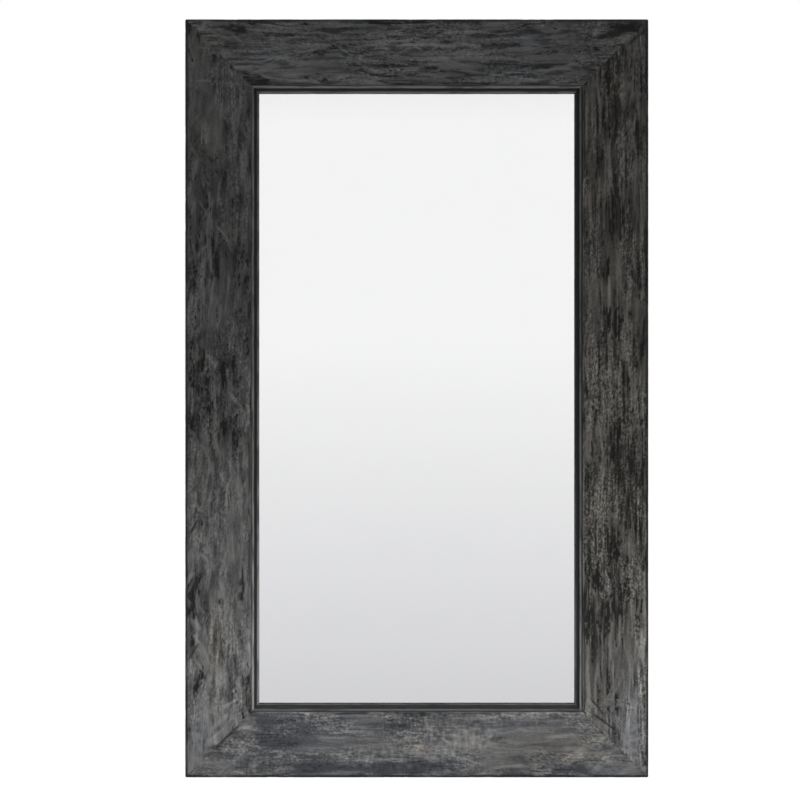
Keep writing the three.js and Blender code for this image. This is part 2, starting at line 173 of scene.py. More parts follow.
def layered_noise(u, v, long, wide, seed, layers=2, fade=0.55):
    """A sum of noises, each about half the size and `fade` of the strength of the one before; 0 to 1."""
    total, weight, strength = 0.0, 0.0, 1.0
    for k in range(layers):
        total = total + strength * lattice_noise(u / long + 17.3 * k, v / wide + 5.7 * k, seed + k)
        weight += strength
        strength *= fade
        long, wide = long / 2.03, wide / 2.03
    return total / weight


def noise_over(u, v, seed):
    """Layered noise over one surface, as a short word: blobs(long, wide, its own number, layers)."""
    def blobs(long, wide, number, layers=2, fade=0.55):
        return layered_noise(u, v, long, wide, seed + number, layers, fade)
    return blobs


def ease(low, high, x):
    """0 below low, 1 above high and 3t^2 - 2t^3 between."""
    t = np.clip((x - low) / (high - low), 0, 1)
    return t * t * (3 - 2 * t)


def hump(x, middle, half):
    """A soft hump round the middle: exp(-((x - middle) / half)^2)."""
    return np.exp(-((x - middle) / half) ** 2)


def turned(u, v, degrees):
    """The two coordinates turned by an angle, for strokes that cross the stick."""
    a = math.radians(degrees)
    return u * math.cos(a) + v * math.sin(a), v * math.cos(a) - u * math.sin(a)

# %% [markdown]
# ## The brushed paint as numbers
# The frame was painted black and gone over with a nearly dry brush of grey, one short drag after
# another, so the paint here is made the same way. A drag is a soft-ended oblong, bent a little. Its
# hairs are streaks of noise that lay paint until they run dry, so its far end breaks into lines. What
# is kept is `tone`, how light the coat is, and `coat`, how thick.

# %% One drag of the brush
HAIR_LENGTH, HAIR_WIDTH = 85.0, 2.7


def drag_brush(tone, coat, x, y, stroke, seed):
    """Inside |s| < length/2, |t| < width/2 the tone moves to the stroke's where hairs beat dryness."""
    x0, y0, degrees, length, width, bend, shade, load, dryness = stroke
    reach = 0.5 * (length + width)
    near = np.flatnonzero((np.abs(x - x0) < reach) & (np.abs(y - y0) < reach))
    if near.size == 0:
        return
    s, t = turned(x[near] - x0, y[near] - y0, degrees)
    t = t + bend * s * s / length
    inside = ease(1.0, 0.45, 2 * np.abs(t) / width) * ease(1.0, 0.35, 2 * np.abs(s) / length)
    hairs = 0.6 * lattice_noise(s / HAIR_LENGTH, t / HAIR_WIDTH, seed)
    hairs = hairs + 0.4 * lattice_noise(s / (0.3 * HAIR_LENGTH), t / (2.6 * HAIR_WIDTH), seed + 1)
    dry = dryness * (0.25 + 0.75 * (s / length + 0.5))
    cover = inside * ease(dry - 0.16, dry + 0.12, hairs) * load
    tone[near] += (shade + 0.5 * (hairs - 0.5) - tone[near]) * cover
    coat[near] += (0.3 + 0.7 * hairs - coat[near]) * cover


def random_strokes(rng, count, x_range, y_range, style):
    """Rows of (x, y, angle, length, width, bend, shade, load, dryness) drawn from a style."""
    crossing = rng.random(count) < style["crossing"]
    turn = rng.normal(0, style["turn"], count)
    cross_turn = rng.choice([-1, 1], count) * rng.uniform(22, style["cross_turn"], count)
    length = style["long"] * np.exp(rng.normal(0, 0.35, count)) * np.where(crossing, 0.6, 1.0)
    width = np.maximum(style["wide"] * np.exp(rng.normal(0, 0.4, count)), 6.5)
    return np.column_stack([
        rng.uniform(*x_range, count), rng.uniform(*y_range, count), np.where(crossing, cross_turn, turn),
        length, width, rng.normal(0, 0.25, count), rng.normal(style["shade"], style["spread"], count),
        rng.uniform(0.35, 0.95, count), style["dry"] + rng.normal(0, 0.1, count)])


COMMON = dict(crossing=0.1, wide=9, spread=0.11, dry=0.38, depth=1.0, slate=0.0, clouds=0.26, weave=0.0,
              grit=1.5, warmth=-0.25, hues=0.6, cast=0.0)
STYLES = {
    "left": dict(COMMON, seed=101, turn=7, crossing=0.22, cross_turn=42, long=85, wide=13, shade=0.71,
                 flecks=0.44, grooves=0.35, grit=1.2, warmth=0.18, hues=0.4, joint=0.25, ridges=0.45),
    "right": dict(COMMON, seed=240, turn=2.5, crossing=0.05, cross_turn=30, long=150, shade=0.8,
                  spread=0.13, dry=0.46, flecks=0.8, clouds=0.24, grooves=1.0, grit=2.3, warmth=0.8,
                  joint=0.4, ridges=0.7),
    "top": dict(COMMON, seed=310, turn=5, cross_turn=32, long=110, shade=0.96, flecks=0.54, depth=0.95,
                grooves=0.4, weave=0.1, hues=0.5, joint=0.2, ridges=0.6),
    # On the bottom rail the sheen and tint settings and the small depth lift bare black to a cool grey:
    # painted sheen.
    "bottom": dict(COMMON, seed=420, turn=4, cross_turn=35, long=100, wide=13, shade=0.54, spread=0.09,
                   dry=0.4, flecks=0.6, depth=0.15, slate=0.85, clouds=0.22, grooves=0.2, weave=1.0,
                   cast=1.0, joint=0.35, ridges=0.3),
}
CORNER_STYLE = dict(turn=45, crossing=0.0, cross_turn=45, long=70, wide=15, shade=0.68, spread=0.1, dry=0.38)

# %% [markdown]
# ## Marks in their places
# Most of the paint is chance, but some marks have their place: black flecks down the left stile, worn
# stretches on the right one, bare patches along the bottom rail in a bluish grey that is painted sheen.
# Each is a place in millimetres (across
# from the middle, up from the floor), a half size both ways, and a strength. Clear marks keep flecks
# away. Listed drags are a place, an angle, a length, a width and a shade.

# %% Marks
BARE_MARKS = [
    (-374, 1650, 30, 8, 0.26), (-90, 1792, 100, 5, 0.3), (-396, 1597, 8, 30, 0.26),
    (-392, 1487, 8, 16, 0.3), (-490, 1430, 20, 40, 0.12), (-418, 1362, 10, 26, 0.2),
    (-470, 1190, 26, 110, 0.05), (-445, 820, 20, 60, 0.12), (-520, 900, 22, 90, 0.1),
    (-536, 375, 11, 80, 0.34), (-525, 225, 22, 22, 0.2), (-541, 110, 8, 24, 0.28), (-418, 465, 6, 10, 0.26),
    (-418, 430, 7, 9, 0.26), (-466, 418, 9, 9, 0.28), (-470, 335, 14, 36, 0.16), (-432, 272, 9, 22, 0.2),
    (-388, 158, 11, 12, 0.4), (-365, 122, 18, 34, 0.22), (-320, 82, 44, 16, 0.22), (-238, 24, 50, 15, 0.26),
    (-168, 156, 44, 7, 0.34), (-30, 20, 90, 10, 0.2), (160, 130, 60, 10, 0.14), (385, 24, 18, 20, 0.26),
    (416, 722, 18, 28, 0.18), (490, 745, 44, 56, 0.2), (462, 560, 16, 44, 0.24), (490, 425, 30, 50, 0.14),
    (430, 350, 26, 80, 0.17), (470, 850, 24, 50, 0.08), (541, 520, 6, 28, 0.24), (541, 835, 5, 26, 0.24),
    (470, 520, 64, 240, 0.08), (-395, 40, 60, 24, 0.1), (-60, 130, 60, 18, 0.1), (-300, 112, 84, 32, 0.13),
    (-130, 28, 170, 15, 0.15), (400, 22, 90, 12, 0.12), (466, 1567, 24, 34, 0.1), (470, 1328, 26, 44, 0.12),
    (430, 1240, 20, 34, 0.08), (215, 1768, 120, 14, 0.1), (-330, 1745, 60, 14, 0.08),
    (492, 1778, 52, 13, 0.34)]
CLEAR_MARKS = [
    (-465, 1600, 60, 130, 0.1), (-450, 620, 46, 150, 0.14), (-450, 360, 40, 190, 0.1),
    (-430, 1080, 26, 60, 0.08), (60, 1690, 260, 26, 0.08), (230, 84, 170, 34, 0.16),
    (512, 150, 34, 110, 0.14), (-455, 930, 60, 60, 0.06), (470, 930, 50, 70, 0.06)]
# The broad dark mark high on the left stile and the faint light one low on it follow the light's rise towards
# the floor: painted shade and painted light.
LIGHT_MARKS = [
    (455, 1240, 3.5, 300, 0.34), (500, 1330, 3, 170, 0.2), (-395, 1500, 3, 120, 0.16),
    (-505, 1200, 3, 120, 0.12), (40, 66, 110, 20, 0.22), (200, 100, 120, 18, 0.2),
    (-465, 1330, 80, 260, -0.1), (-470, 500, 66, 170, -0.06), (-460, 240, 50, 90, 0.03),
    (-60, 40, 60, 10, 0.16), (430, 560, 14, 120, 0.1), (480, 430, 80, 230, -0.11),
    (460, 230, 60, 70, -0.14), (-390, 420, 14, 260, 0.08), (60, 1720, 200, 20, 0.05),
    (480, 920, 70, 110, 0.07), (390, 70, 70, 36, 0.1), (524, 120, 30, 110, 0.06), (-300, 100, 90, 44, -0.06)]
# The cool marks low on the frame, along the bottom rail's lower edge and the feet of the stiles, are painted
# sheen.
WARM_MARKS = [
    (-470, 320, 18, 60, 0.9), (10, 66, 24, 12, 1.0), (470, 660, 50, 120, 0.6), (-500, 1740, 60, 40, 0.3),
    (512, 150, 44, 140, -0.8), (-530, 130, 26, 70, -0.6), (480, 1720, 80, 80, 0.45),
    (330, 66, 150, 34, 0.7), (-130, 24, 170, 16, -0.9), (400, 20, 90, 12, -0.9), (-300, 110, 90, 34, -0.4)]
HAND_DRAGS = [
    (-452, 96, 44, 130, 9, 0.1), (-463, 78, 12, 80, 11, 0.12), (-486, 58, 20, 60, 12, 0.18),
    (443, 134, -37, 112, 7, 0.08), (428, 170, -52, 70, 7, 0.15), (488, 1774, 24, 118, 24, 0.0),
    (520, 1756, 40, 70, 10, 0.15), (460, 1764, 16, 80, 14, 0.05), (-502, 522, -46, 42, 8, 0.98),
    (-516, 566, -40, 34, 7, 0.96), (-520, 640, -38, 40, 8, 0.92), (-528, 596, 62, 46, 7, 0.15),
    (-523, 330, -56, 44, 8, 0.98), (-530, 300, 58, 60, 8, 0.05), (-512, 262, -60, 44, 8, 0.92),
    (-534, 420, -64, 60, 8, 0.05), (-436, 180, 30, 60, 10, 0.92), (-410, 120, 10, 50, 14, 0.92),
    (505, 430, 40, 30, 7, 1.05), (488, 452, -20, 34, 7, 1.05), (-470, 1600, 78, 220, 16, 0.62),
    (-430, 1520, 84, 260, 14, 0.8)]


def marks_at(x, z, marks, power=4):
    """The sum of strength exp(-(dx/a)^power - (dz/b)^power) over the marks: 4 is firm, 2 is soft."""
    total = np.zeros_like(x)
    for mark_x, mark_z, half_x, half_z, strength in marks:
        total += strength * np.exp(-((x - mark_x) / half_x) ** power - ((z - mark_z) / half_z) ** power)
    return total

# %% [markdown]
# ## One board's paint
# The drags follow the board, but at each mitre another set, in the frame's own coordinates, runs over
# both boards, as the brush did. Then flecks of bare black are cut out wherever patches, grit and the
# hollows between hairs together pass a level.

# %% Paint fields of one board
COVERING = 3.4
CORNER_DRAGS = 55
CORNER_FEET = [(-550, 0), (370, 0), (-550, 1620), (370, 1620)]
CORNER_SIZE = 180
CORNER_SEEDS, HAND_SEEDS = 5000, 9000
HAND_BEND, HAND_LOAD, HAND_DRYNESS = 0.12, 0.85, 0.3


def brushed_paint(side, u, v, x, z):
    """tone, coat, missed and warmth from drags, corner drags, marks and flecks; millimetres throughout."""
    style = STYLES[side]
    seed = style["seed"]
    shape = u.shape
    u, v, x, z = (np.ascontiguousarray(np.broadcast_to(field, shape)).ravel() for field in (u, v, x, z))
    blobs = noise_over(u, v, seed)
    tone = 0.42 + 0.5 * (blobs(160, 50, 1, 3) - 0.5)
    coat = np.full_like(tone, 0.2)

    def lay(strokes, across, up, first_seed):
        for k, stroke in enumerate(strokes):
            drag_brush(tone, coat, across, up, stroke, first_seed + 2 * k)

    u_range, v_range = (u.min(), u.max()), (v.min(), v.max())
    area = (u_range[1] - u_range[0]) * (v_range[1] - v_range[0])
    count = int(COVERING * area / (style["long"] * style["wide"]))
    lay(random_strokes(np.random.default_rng(seed), count, u_range, v_range, style), u, v, seed + 1000)
    for corner, (low_x, low_z) in enumerate(CORNER_FEET):
        strokes = random_strokes(np.random.default_rng(900 + corner), CORNER_DRAGS,
                                 (low_x, low_x + CORNER_SIZE), (low_z, low_z + CORNER_SIZE), CORNER_STYLE)
        lay(strokes, x, z, CORNER_SEEDS + 1000 * corner)
    by_hand = [(*drag[:5], HAND_BEND, drag[5], HAND_LOAD, HAND_DRYNESS) for drag in HAND_DRAGS]
    lay(by_hand, x, z, HAND_SEEDS)

    s = u + 12 * (blobs(30, 6, 5) - 0.5)
    w = v + 8 * (blobs(60, 24, 6) - 0.5)
    grit = (0.55 * lattice_noise(s / 5.2, w / 2.5, seed + 30)
            + 0.45 * lattice_noise(s / 12, w / 3.8, seed + 31) - 0.5)
    lines = lattice_noise(s / 48, w / 2.4, seed + 35) - 0.5
    grooves = ease(0.6, 0.8, lattice_noise(u / 110, (v + 0.15 * (w - v)) / 4.0, seed + 36))
    grooves = style["grooves"] * grooves * ease(0.35, 0.6, blobs(120, 30, 38))
    ridges = style["ridges"] * ease(0.54, 0.7, lattice_noise(s / 60, (v + 0.3 * (w - v)) / 2.7, seed + 39))
    specks = lattice_noise(u / 3.2, v / 2.6, seed + 33) - 0.5
    busy = 0.35 + 1.3 * ease(0.36, 0.62, blobs(110, 40, 37, 3))
    patches = layered_noise(s, w, 62, 22, seed + 20, 3, 0.6) - 0.5
    regions = blobs(230, 60, 25) - 0.5
    threads = lattice_noise(u / 3.6, v / 11, seed + 50) + lattice_noise(u / 13, v / 3.2, seed + 51) - 1
    woven = style["weave"] * ease(0.4, 0.6, blobs(120, 60, 53))

    bare = marks_at(x, z, BARE_MARKS)
    score = (0.56 * patches + 0.36 * regions + (0.4 + 0.22 * busy) * grit + 0.2 * lines + 0.16 * grooves
             + 0.3 * (0.5 - coat) + bare - marks_at(x, z, CLEAR_MARKS))
    level = 0.26 - 0.16 * style["flecks"]
    open_ground = ease(level, level + 0.09, score)
    missed = style["depth"] * open_ground * (1 - ridges)
    tone = (tone + style["clouds"] * (blobs(170, 60, 40, 3, 0.6) - 0.5) - 0.22 * grooves
            + style["grit"] * busy * (0.26 * grit + 0.26 * specks + 0.2 * lines)
            + marks_at(x, z, LIGHT_MARKS, power=2) - 0.6 * bare
            - 0.16 * (1 - 0.5 * ridges) * ease(level - 0.14, level + 0.02, score))
    # On the bottom rail the bare patches are lifted towards a dark grey: painted sheen.
    tone = tone + style["slate"] * open_ground * (0.24 - tone) + 0.34 * woven * threads
    own_warmth = style["warmth"] * (1 - 0.7 * ease(200, 60, np.abs(u).max() - np.abs(u)))
    # On the bottom rail darker paint is cooled and lighter paint warmed; the blue in the dark is painted
    # sheen.
    warmth = (own_warmth + style["hues"] * (blobs(90, 26, 60, 3) - 0.5)
              + style["cast"] * (1.8 * (tone - 0.52)) + marks_at(x, z, WARM_MARKS, power=2))
    return [field.reshape(shape) for field in (tone, coat, missed, warmth)]

# %% [markdown]
# ## Sections
# A section is an outline in inset (from the frame's outer edge) and drop (below its face), made of
# straight runs, arcs and one hollow curve: in fine steps where the paint shows, in coarse ones behind.

# %% Outline helpers
def straight(start, end, pace):
    """Points from start up to, not including, end, about a pace apart."""
    start, end = np.array(start), np.array(end)
    count = max(1, round(float(np.linalg.norm(end - start)) / pace))
    return start + (end - start) * (np.arange(count) / count)[:, None]


def runs(corners, paces):
    """Straight runs from corner to corner, each with its own pace in millimetres."""
    return np.concatenate([straight(start, end, pace * MM)
                           for start, end, pace in zip(corners, corners[1:], paces)])


def arc(centre, radius, start_degrees, end_degrees, count):
    """Points on a circle, from the start angle up to, not including, the end angle."""
    angle = np.radians(start_degrees + (end_degrees - start_degrees) * np.arange(count) / count)
    return np.array(centre) + radius * np.column_stack([np.cos(angle), np.sin(angle)])


def hollow(start, pull, end, count):
    """A quadratic curve: (1-t)^2 start + 2t(1-t) pull + t^2 end."""
    t = (np.arange(count) / count)[:, None]
    return (1 - t) ** 2 * np.array(start) + 2 * t * (1 - t) * np.array(pull) + t ** 2 * np.array(end)


def inward(outline):
    """Unit normals that point into a closed outline, from the direction between each point's neighbours."""
    ahead = np.roll(outline, -1, axis=0) - np.roll(outline, 1, axis=0)
    normal = np.column_stack([-ahead[:, 1], ahead[:, 0]])
    normal /= np.linalg.norm(normal, axis=1)[:, None]
    x, y = outline.T
    area = np.sum(x * np.roll(y, -1) - np.roll(x, -1) * y) / 2
    return normal if area > 0 else -normal


def girth(outline):
    """Distance walked round the outline from its first point."""
    steps = np.linalg.norm(np.diff(outline, axis=0), axis=1)
    return np.concatenate([[0], np.cumsum(steps)])


PAINT_PACE = 1.7


def board_outline():
    """From the outer back edge up the side, over the face and down behind the inner arris."""
    w, d, r, b, a = BOARD_WIDTH, DEPTH, OUTER_ROUND, BACK_ROUND, ARRIS_ROUND
    behind = w - REBATE_WIDTH
    return np.concatenate([
        arc((b, d - b), b, 90, 180, 4),
        runs([(0, d - b), (0, r)], [2 * PAINT_PACE]),
        arc((r, r), r, 180, 270, 8),
        runs([(r, 0), (w - a, 0)], [PAINT_PACE]),
        arc((w - a, a), a, -90, 0, 4),
        runs([(w, a), (w, REBATE_LIP), (behind, REBATE_LIP), (behind, d), (b, d)], [3, 5, 6, 9]),
    ])


def slip_outline():
    """Flange, bead, cove, lip and the rebate for the glass, the same as the solid's section."""
    bead_start, bead_end = BOARD_WIDTH + FIT_GAP, BOARD_WIDTH + BEAD_WIDTH
    crest_start, crest_end = bead_start + BEAD_ROUND, bead_end - BEAD_ROUND
    crest, cove_end = BEAD_DROP + BEAD_ROUND, bead_end + COVE_WIDTH
    flange, glass_edge = BOARD_WIDTH - REBATE_WIDTH + FIT_GAP, SIGHT_INSET - GLASS_COVER
    lip_drop = LIP_DROP + LIP_ROUND
    return np.concatenate([
        runs([(flange, REBATE_LIP), (bead_start, REBATE_LIP), (bead_start, crest)], [5, 4]),
        arc((crest_start, crest), BEAD_ROUND, 180, 270, 5),
        runs([(crest_start, BEAD_DROP), (crest_end, BEAD_DROP)], [0.8]),
        arc((crest_end, crest), BEAD_ROUND, -90, 0, 5),
        hollow((bead_end, crest), (bead_end + 0.3 * COVE_WIDTH, LIP_DROP), (cove_end, LIP_DROP), 12),
        runs([(cove_end, LIP_DROP), (SIGHT_INSET - LIP_ROUND, LIP_DROP)], [0.8]),
        arc((SIGHT_INSET - LIP_ROUND, lip_drop), LIP_ROUND, -90, 0, 4),
        runs([(SIGHT_INSET, lip_drop), (SIGHT_INSET, GLASS_DROP), (glass_edge, GLASS_DROP),
              (glass_edge, SLIP_BACK_DROP), (flange, SLIP_BACK_DROP), (flange, REBATE_LIP)], [2, 5, 3, 5, 4]),
    ])

# %% [markdown]
# ## A mitred stick
# A board could be a box with a bump map, but its outline and mitres would stay dead straight. Instead
# the section is carried along the stick as one grid, and each column stops where its own inset says,
# which cuts the mitre. Relief is pushed into the wood along the section's normal, never out of it, so
# the piece stays inside its solid.

# %% Carry a section along a side of the frame
END_STEPS = np.array([0.5, 1.1, 1.8, 4.2, 5.0]) * MM
HALF_LENGTH = {"left": FRAME_HEIGHT / 2, "right": FRAME_HEIGHT / 2,
               "top": FRAME_WIDTH / 2, "bottom": FRAME_WIDTH / 2}


def on_side(side, along, inset, drop):
    """Points on one side of the frame, from the distance along it, in from its edge and below its face."""
    along, inset, y = np.broadcast_arrays(along, inset, FRONT + drop)
    x, z = {"bottom": (along, inset), "top": (-along, FRAME_HEIGHT - inset),
            "left": (inset - FRAME_WIDTH / 2, FRAME_HEIGHT / 2 - along),
            "right": (FRAME_WIDTH / 2 - inset, FRAME_HEIGHT / 2 + along)}[side]
    return np.stack([x, y, z], axis=-1)


def stick_grid(side, outline, pace):
    """Along = t (half length - inset), t from -1 to 1: rows fan out to the 45 degree ends."""
    half = HALF_LENGTH[side]
    near_end = 1 - END_STEPS / half
    t = np.sort(np.concatenate([np.linspace(-1, 1, round(2 * half / pace)), near_end, -near_end]))
    return t[:, None] * (half - outline[:, 0] - MITRE_GAP)


def stick_faces(rows, columns):
    """The grid's quads and one many-sided face on each mitre."""
    ends = [list(range(columns))[::-1], list(range((rows - 1) * columns, rows * columns))]
    return grid_quads(rows, columns) + ends


def corner_pull(side, along, inset):
    """How far the frame's rounded corners pull the outer edge in: r - sqrt(r^2 - x^2) near each end."""
    past = np.clip(CORNER_ROUND - (HALF_LENGTH[side] - np.abs(along)), 0, CORNER_ROUND)
    pull = CORNER_ROUND - np.sqrt(np.maximum(CORNER_ROUND ** 2 - past ** 2, 0))
    return np.maximum(pull - inset, 0)


def make_stick(side, node, slot, outline, pace, seed, fields):
    """Carries a section along one side, with the relief and the stored numbers that `fields` works out."""
    along = stick_grid(side, outline, pace)
    round_section = np.broadcast_to(girth(outline), along.shape)
    numbers, relief = fields(side, along, outline, along / MM, round_section / MM, seed)
    into = inward(outline)
    inset = outline[:, 0] + into[:, 0] * relief
    inset = inset + corner_pull(side, along, inset)
    points = on_side(side, along, inset, outline[:, 1] + into[:, 1] * relief).reshape(-1, 3)
    piece = make_piece(f"painted_{node}", points, stick_faces(*along.shape), "frame", slot, [node])
    store_uv(piece, along + seed * 0.01, round_section)
    for name, values in numbers.items():
        store(piece, name, np.broadcast_to(values, along.shape))
    return piece

# %% [markdown]
# ## The boards
# The face wanders by a few tenths, cracks follow the grain, the outer edge is dented and the inner
# arris worn, its lighter band partly a painted highlight. The numbers that colour the paint also shape
# it: thick paint stands up and flecks are sunk, so light and colour agree.

# %% Relief and paint of one board
FACE_WAVER = 0.35 * MM
FLECK_DEPTH = 0.26 * MM
COAT_HEIGHT = 0.42 * MM
CRACK_DEPTH = 0.9 * MM
DENT_DEPTH = 0.5 * MM
EDGE_WEAR = 0.9 * MM
SIDE_END = 20 * MM


def board_fields(side, along, outline, u, v, seed):
    """The paint's numbers, where the face shows, the edge rub and the relief, for every point."""
    inset, drop = outline.T
    place = on_side(side, along, inset, drop) / MM
    tone, coat, missed, warmth = brushed_paint(side, u, v, place[..., 0], place[..., 2])
    on_face = (drop < 3 * MM) * (inset >= SIDE_END)
    shown = ease(DEPTH - 3 * MM, DEPTH - 10 * MM, drop) * (inset < SIDE_END) + on_face
    blobs = noise_over(u, v, seed)

    bent = v + 5 * (blobs(45, 20, 71) - 0.5)
    cracks = ease(0.9, 0.97, lattice_noise(u / 45, bent / 2.4, seed + 72))
    cracks = cracks * ease(0.5, 0.62, blobs(150, 60, 73))
    dents = ease(0.8, 0.95, lattice_noise(u / 13, v / 9, seed + 74))
    outer_edge = hump(inset + drop, 0.6 * OUTER_ROUND, 5 * MM)
    inner_edge = hump(inset, BOARD_WIDTH, 2.5 * MM) * (drop < 4 * MM)
    chips = ease(0.5, 0.85, blobs(34, 16, 76, 3))
    relief = (FACE_WAVER * blobs(190, 50, 70) + FLECK_DEPTH * missed + COAT_HEIGHT * (1 - coat)
              + CRACK_DEPTH * cracks + DENT_DEPTH * dents
              + EDGE_WEAR * chips * (outer_edge + 0.5 * inner_edge)) * shown
    relief = relief * np.where(inset < 2 * MM, 0.45, 1.0)

    bare_edge = ease(9.5 * MM, 4.0 * MM, inset) * (drop < 9 * MM)
    bare_edge = bare_edge * (0.55 + 0.45 * ease(0.25, 0.55, blobs(50, 9, 80)))
    bare_arris = ease(BOARD_WIDTH - 9 * MM, BOARD_WIDTH - 3 * MM, inset) * (drop < 3 * MM)
    bare_arris = bare_arris * ease(0.42, 0.58, blobs(70, 8, 82, 3))
    to_mitre = HALF_LENGTH[side] - np.abs(along) - inset
    joint = STYLES[side]["joint"] * hump(to_mitre, 0, 2.4 * MM) * (drop < 3 * MM)
    joint = joint * ease(0.45, 0.62, blobs(24, 30, 84))
    missed = np.maximum.reduce([missed, 0.92 * bare_edge, 0.92 * bare_arris, 0.7 * cracks, joint])
    # The light band on the inner arris is worn paint and, in part, a painted highlight.
    rub = inner_edge * ease(0.25, 0.6, blobs(60, 6, 78))
    return dict(tone=tone, missed=missed, warmth=warmth, shown=shown, rub=rub), relief


boards = [make_stick(side, node, "frame_paint", board_outline(), 2.9 * MM, STYLES[side]["seed"], board_fields)
          for side, node in (("left", "frame_left_stile"), ("right", "frame_right_stile"),
                             ("top", "frame_top_rail"), ("bottom", "frame_bottom_rail"))]

# %% [markdown]
# ## The slip
# A thin black moulding between board and glass. It missed the grey coat, but its bead and lip are light
# in a broken line, most along the top and the left: worn paint and painted highlight. A small waver runs
# along it.

# %% Slips
SLIP_WAVER = 0.45 * MM
SLIP_NICKS = 0.25 * MM
# Per side, the light on bead, quirk, lip and whole cove: worn paint and painted highlight, strongest on the
# top and the left.
WEAR_AND_HIGHLIGHT = {"left": (1.05, 0.55, 1.4, 0.05), "right": (0.72, 0.05, 0.3, 0.0),
        "top": (1.8, 0.8, 2.1, 0.06), "bottom": (0.34, 0.25, 0.36, 0.0)}


def slip_fields(side, along, outline, u, v, seed):
    """The wear and painted highlight on bead, quirk, lip and cove, in broken lines, and the relief."""
    inset, drop = outline.T
    blobs = noise_over(u, v, seed)
    front = (drop < GLASS_DROP - 1 * MM) & (inset > BOARD_WIDTH + 0.5 * FIT_GAP)
    nicks = ease(0.6, 0.9, lattice_noise(u / 9, v / 4, seed + 5))
    relief = (SLIP_WAVER * blobs(38, 9, 0, 3) + SLIP_NICKS * nicks) * front
    crest = hump(inset, BOARD_WIDTH + 0.74 * BEAD_WIDTH, 2.4 * MM) * (drop < 6 * MM)
    quirk = hump(inset, BOARD_WIDTH + 1.2 * MM, 1.5 * MM) * (drop < 3 * MM)
    lip = hump(inset, SIGHT_INSET - 1.9 * MM, 2.0 * MM) * (np.abs(drop - LIP_DROP) < 1 * MM)
    on_bead, on_quirk, on_lip, on_cove = WEAR_AND_HIGHLIGHT[side]
    broken = 0.35 + 0.65 * ease(0.25, 0.65, blobs(46, 5, 10, 3))
    patchy = 0.4 + 0.6 * ease(0.3, 0.6, blobs(60, 5, 14))
    # Light lines on bead and lip, and a faint lift over all: worn paint and painted highlight.
    rub = (on_bead * crest + on_lip * lip) * broken + on_cove + on_quirk * quirk * patchy
    return {"rub": rub}, relief


slips = [make_stick(side, f"slip_{side}", "slip_paint", slip_outline(), 4 * MM, seed, slip_fields)
         for side, seed in (("left", 510), ("right", 530), ("top", 550), ("bottom", 570))]

# %% [markdown]
# ## Turned pieces
# Screws and bumpers are profiles turned about a line that points out of the back. A screw's recess is
# pressed in by lowering the points where either arm of a cross lies, with soft shoulders.

# %% Turn a profile about a line along Y
def turned_surface(profile, sides, centre, sink=None):
    """Points (r cos a, h, r sin a) for each (r, h) of the profile; the two ends lie on the axis."""
    radius, height = np.array(profile[1:-1]).T[..., None]
    angle = np.arange(sides) * 2 * math.pi / sides
    x, z = radius * np.cos(angle), radius * np.sin(angle)
    y = np.broadcast_to(height, x.shape)
    tip = profile[-1][1]
    if sink is not None:
        y = y - sink(x, z) * (height > 0)
        tip = tip - sink(0.0, 0.0)
    rings = np.stack([x, y, z], axis=-1).reshape(-1, 3)
    points = np.concatenate([rings, [[0, profile[0][1], 0], [0, tip, 0]]]) + np.array(centre)
    k = np.arange(sides)
    k_next = (k + 1) % sides
    last_ring = len(rings) - sides
    bottom = np.column_stack([np.full(sides, len(rings)), k_next, k])
    top = np.column_stack([np.full(sides, len(rings) + 1), last_ring + k, last_ring + k_next])
    return points, grid_quads(len(radius), sides) + bottom.tolist() + top.tolist()


def joined(parts):
    """Several point and face lists as one."""
    points, faces, start = [], [], 0
    for part_points, part_faces in parts:
        points.append(part_points)
        faces += [[index + start for index in face] for face in part_faces]
        start += len(part_points)
    return np.concatenate(points), faces


def cross_recess(arm, half_width, depth):
    """How far the head is sunk at (x, z): full depth inside either arm of a cross, easing at its sides."""
    def sink(x, z):
        across, along = np.minimum(abs(x), abs(z)), np.maximum(abs(x), abs(z))
        return depth * ease(half_width * 1.35, half_width * 0.75, across) * ease(arm, arm * 0.45, along)
    return sink

# %% [markdown]
# ## Screws
# Countersunk ones in the corner braces, round-headed ones in the hangers and smaller ones round the
# panel. Each goes where its solid's box is, and all of a kind are one mesh. Their sizes are shank
# radius, length, head radius and head height in millimetres, and whether the head is flat.

# %% Screws
SCREW_SIDES = 32
HAIR = 0.001 * MM
SCREWS = {"brace": (2, 16, 4, 2, True), "hanger": (2, 18, 3.8, 2.4, False), "panel": (1.6, 12, 3.4, 2, False)}


def screw_profile(shank, length, head, rise, flat):
    """From the point up the shank and over the head, which is a cone or a low dome."""
    start = [(0, -length), (0.35 * shank, 0.25 * shank - length), (shank, 3 * MM - length)]
    if flat:
        rim = [(shank, -rise), (head, -20 * HAIR), (0.97 * head, 0.0)]
        return start + rim + [(share * head, HAIR) for share in (0.85, 0.62, 0.5, 0.4, 0.3, 0.2, 0.1, 0)]
    under = [(shank, 0.0), (0.96 * head, 0.0), (head, 0.12 * rise)]
    angle = np.linspace(0.12, 1, 10)[:-1] * math.pi / 2
    dome = [(head * math.cos(a) ** 0.8, rise * (0.12 + 0.88 * math.sin(a))) for a in angle]
    return start + under + dome + [(0, rise)]


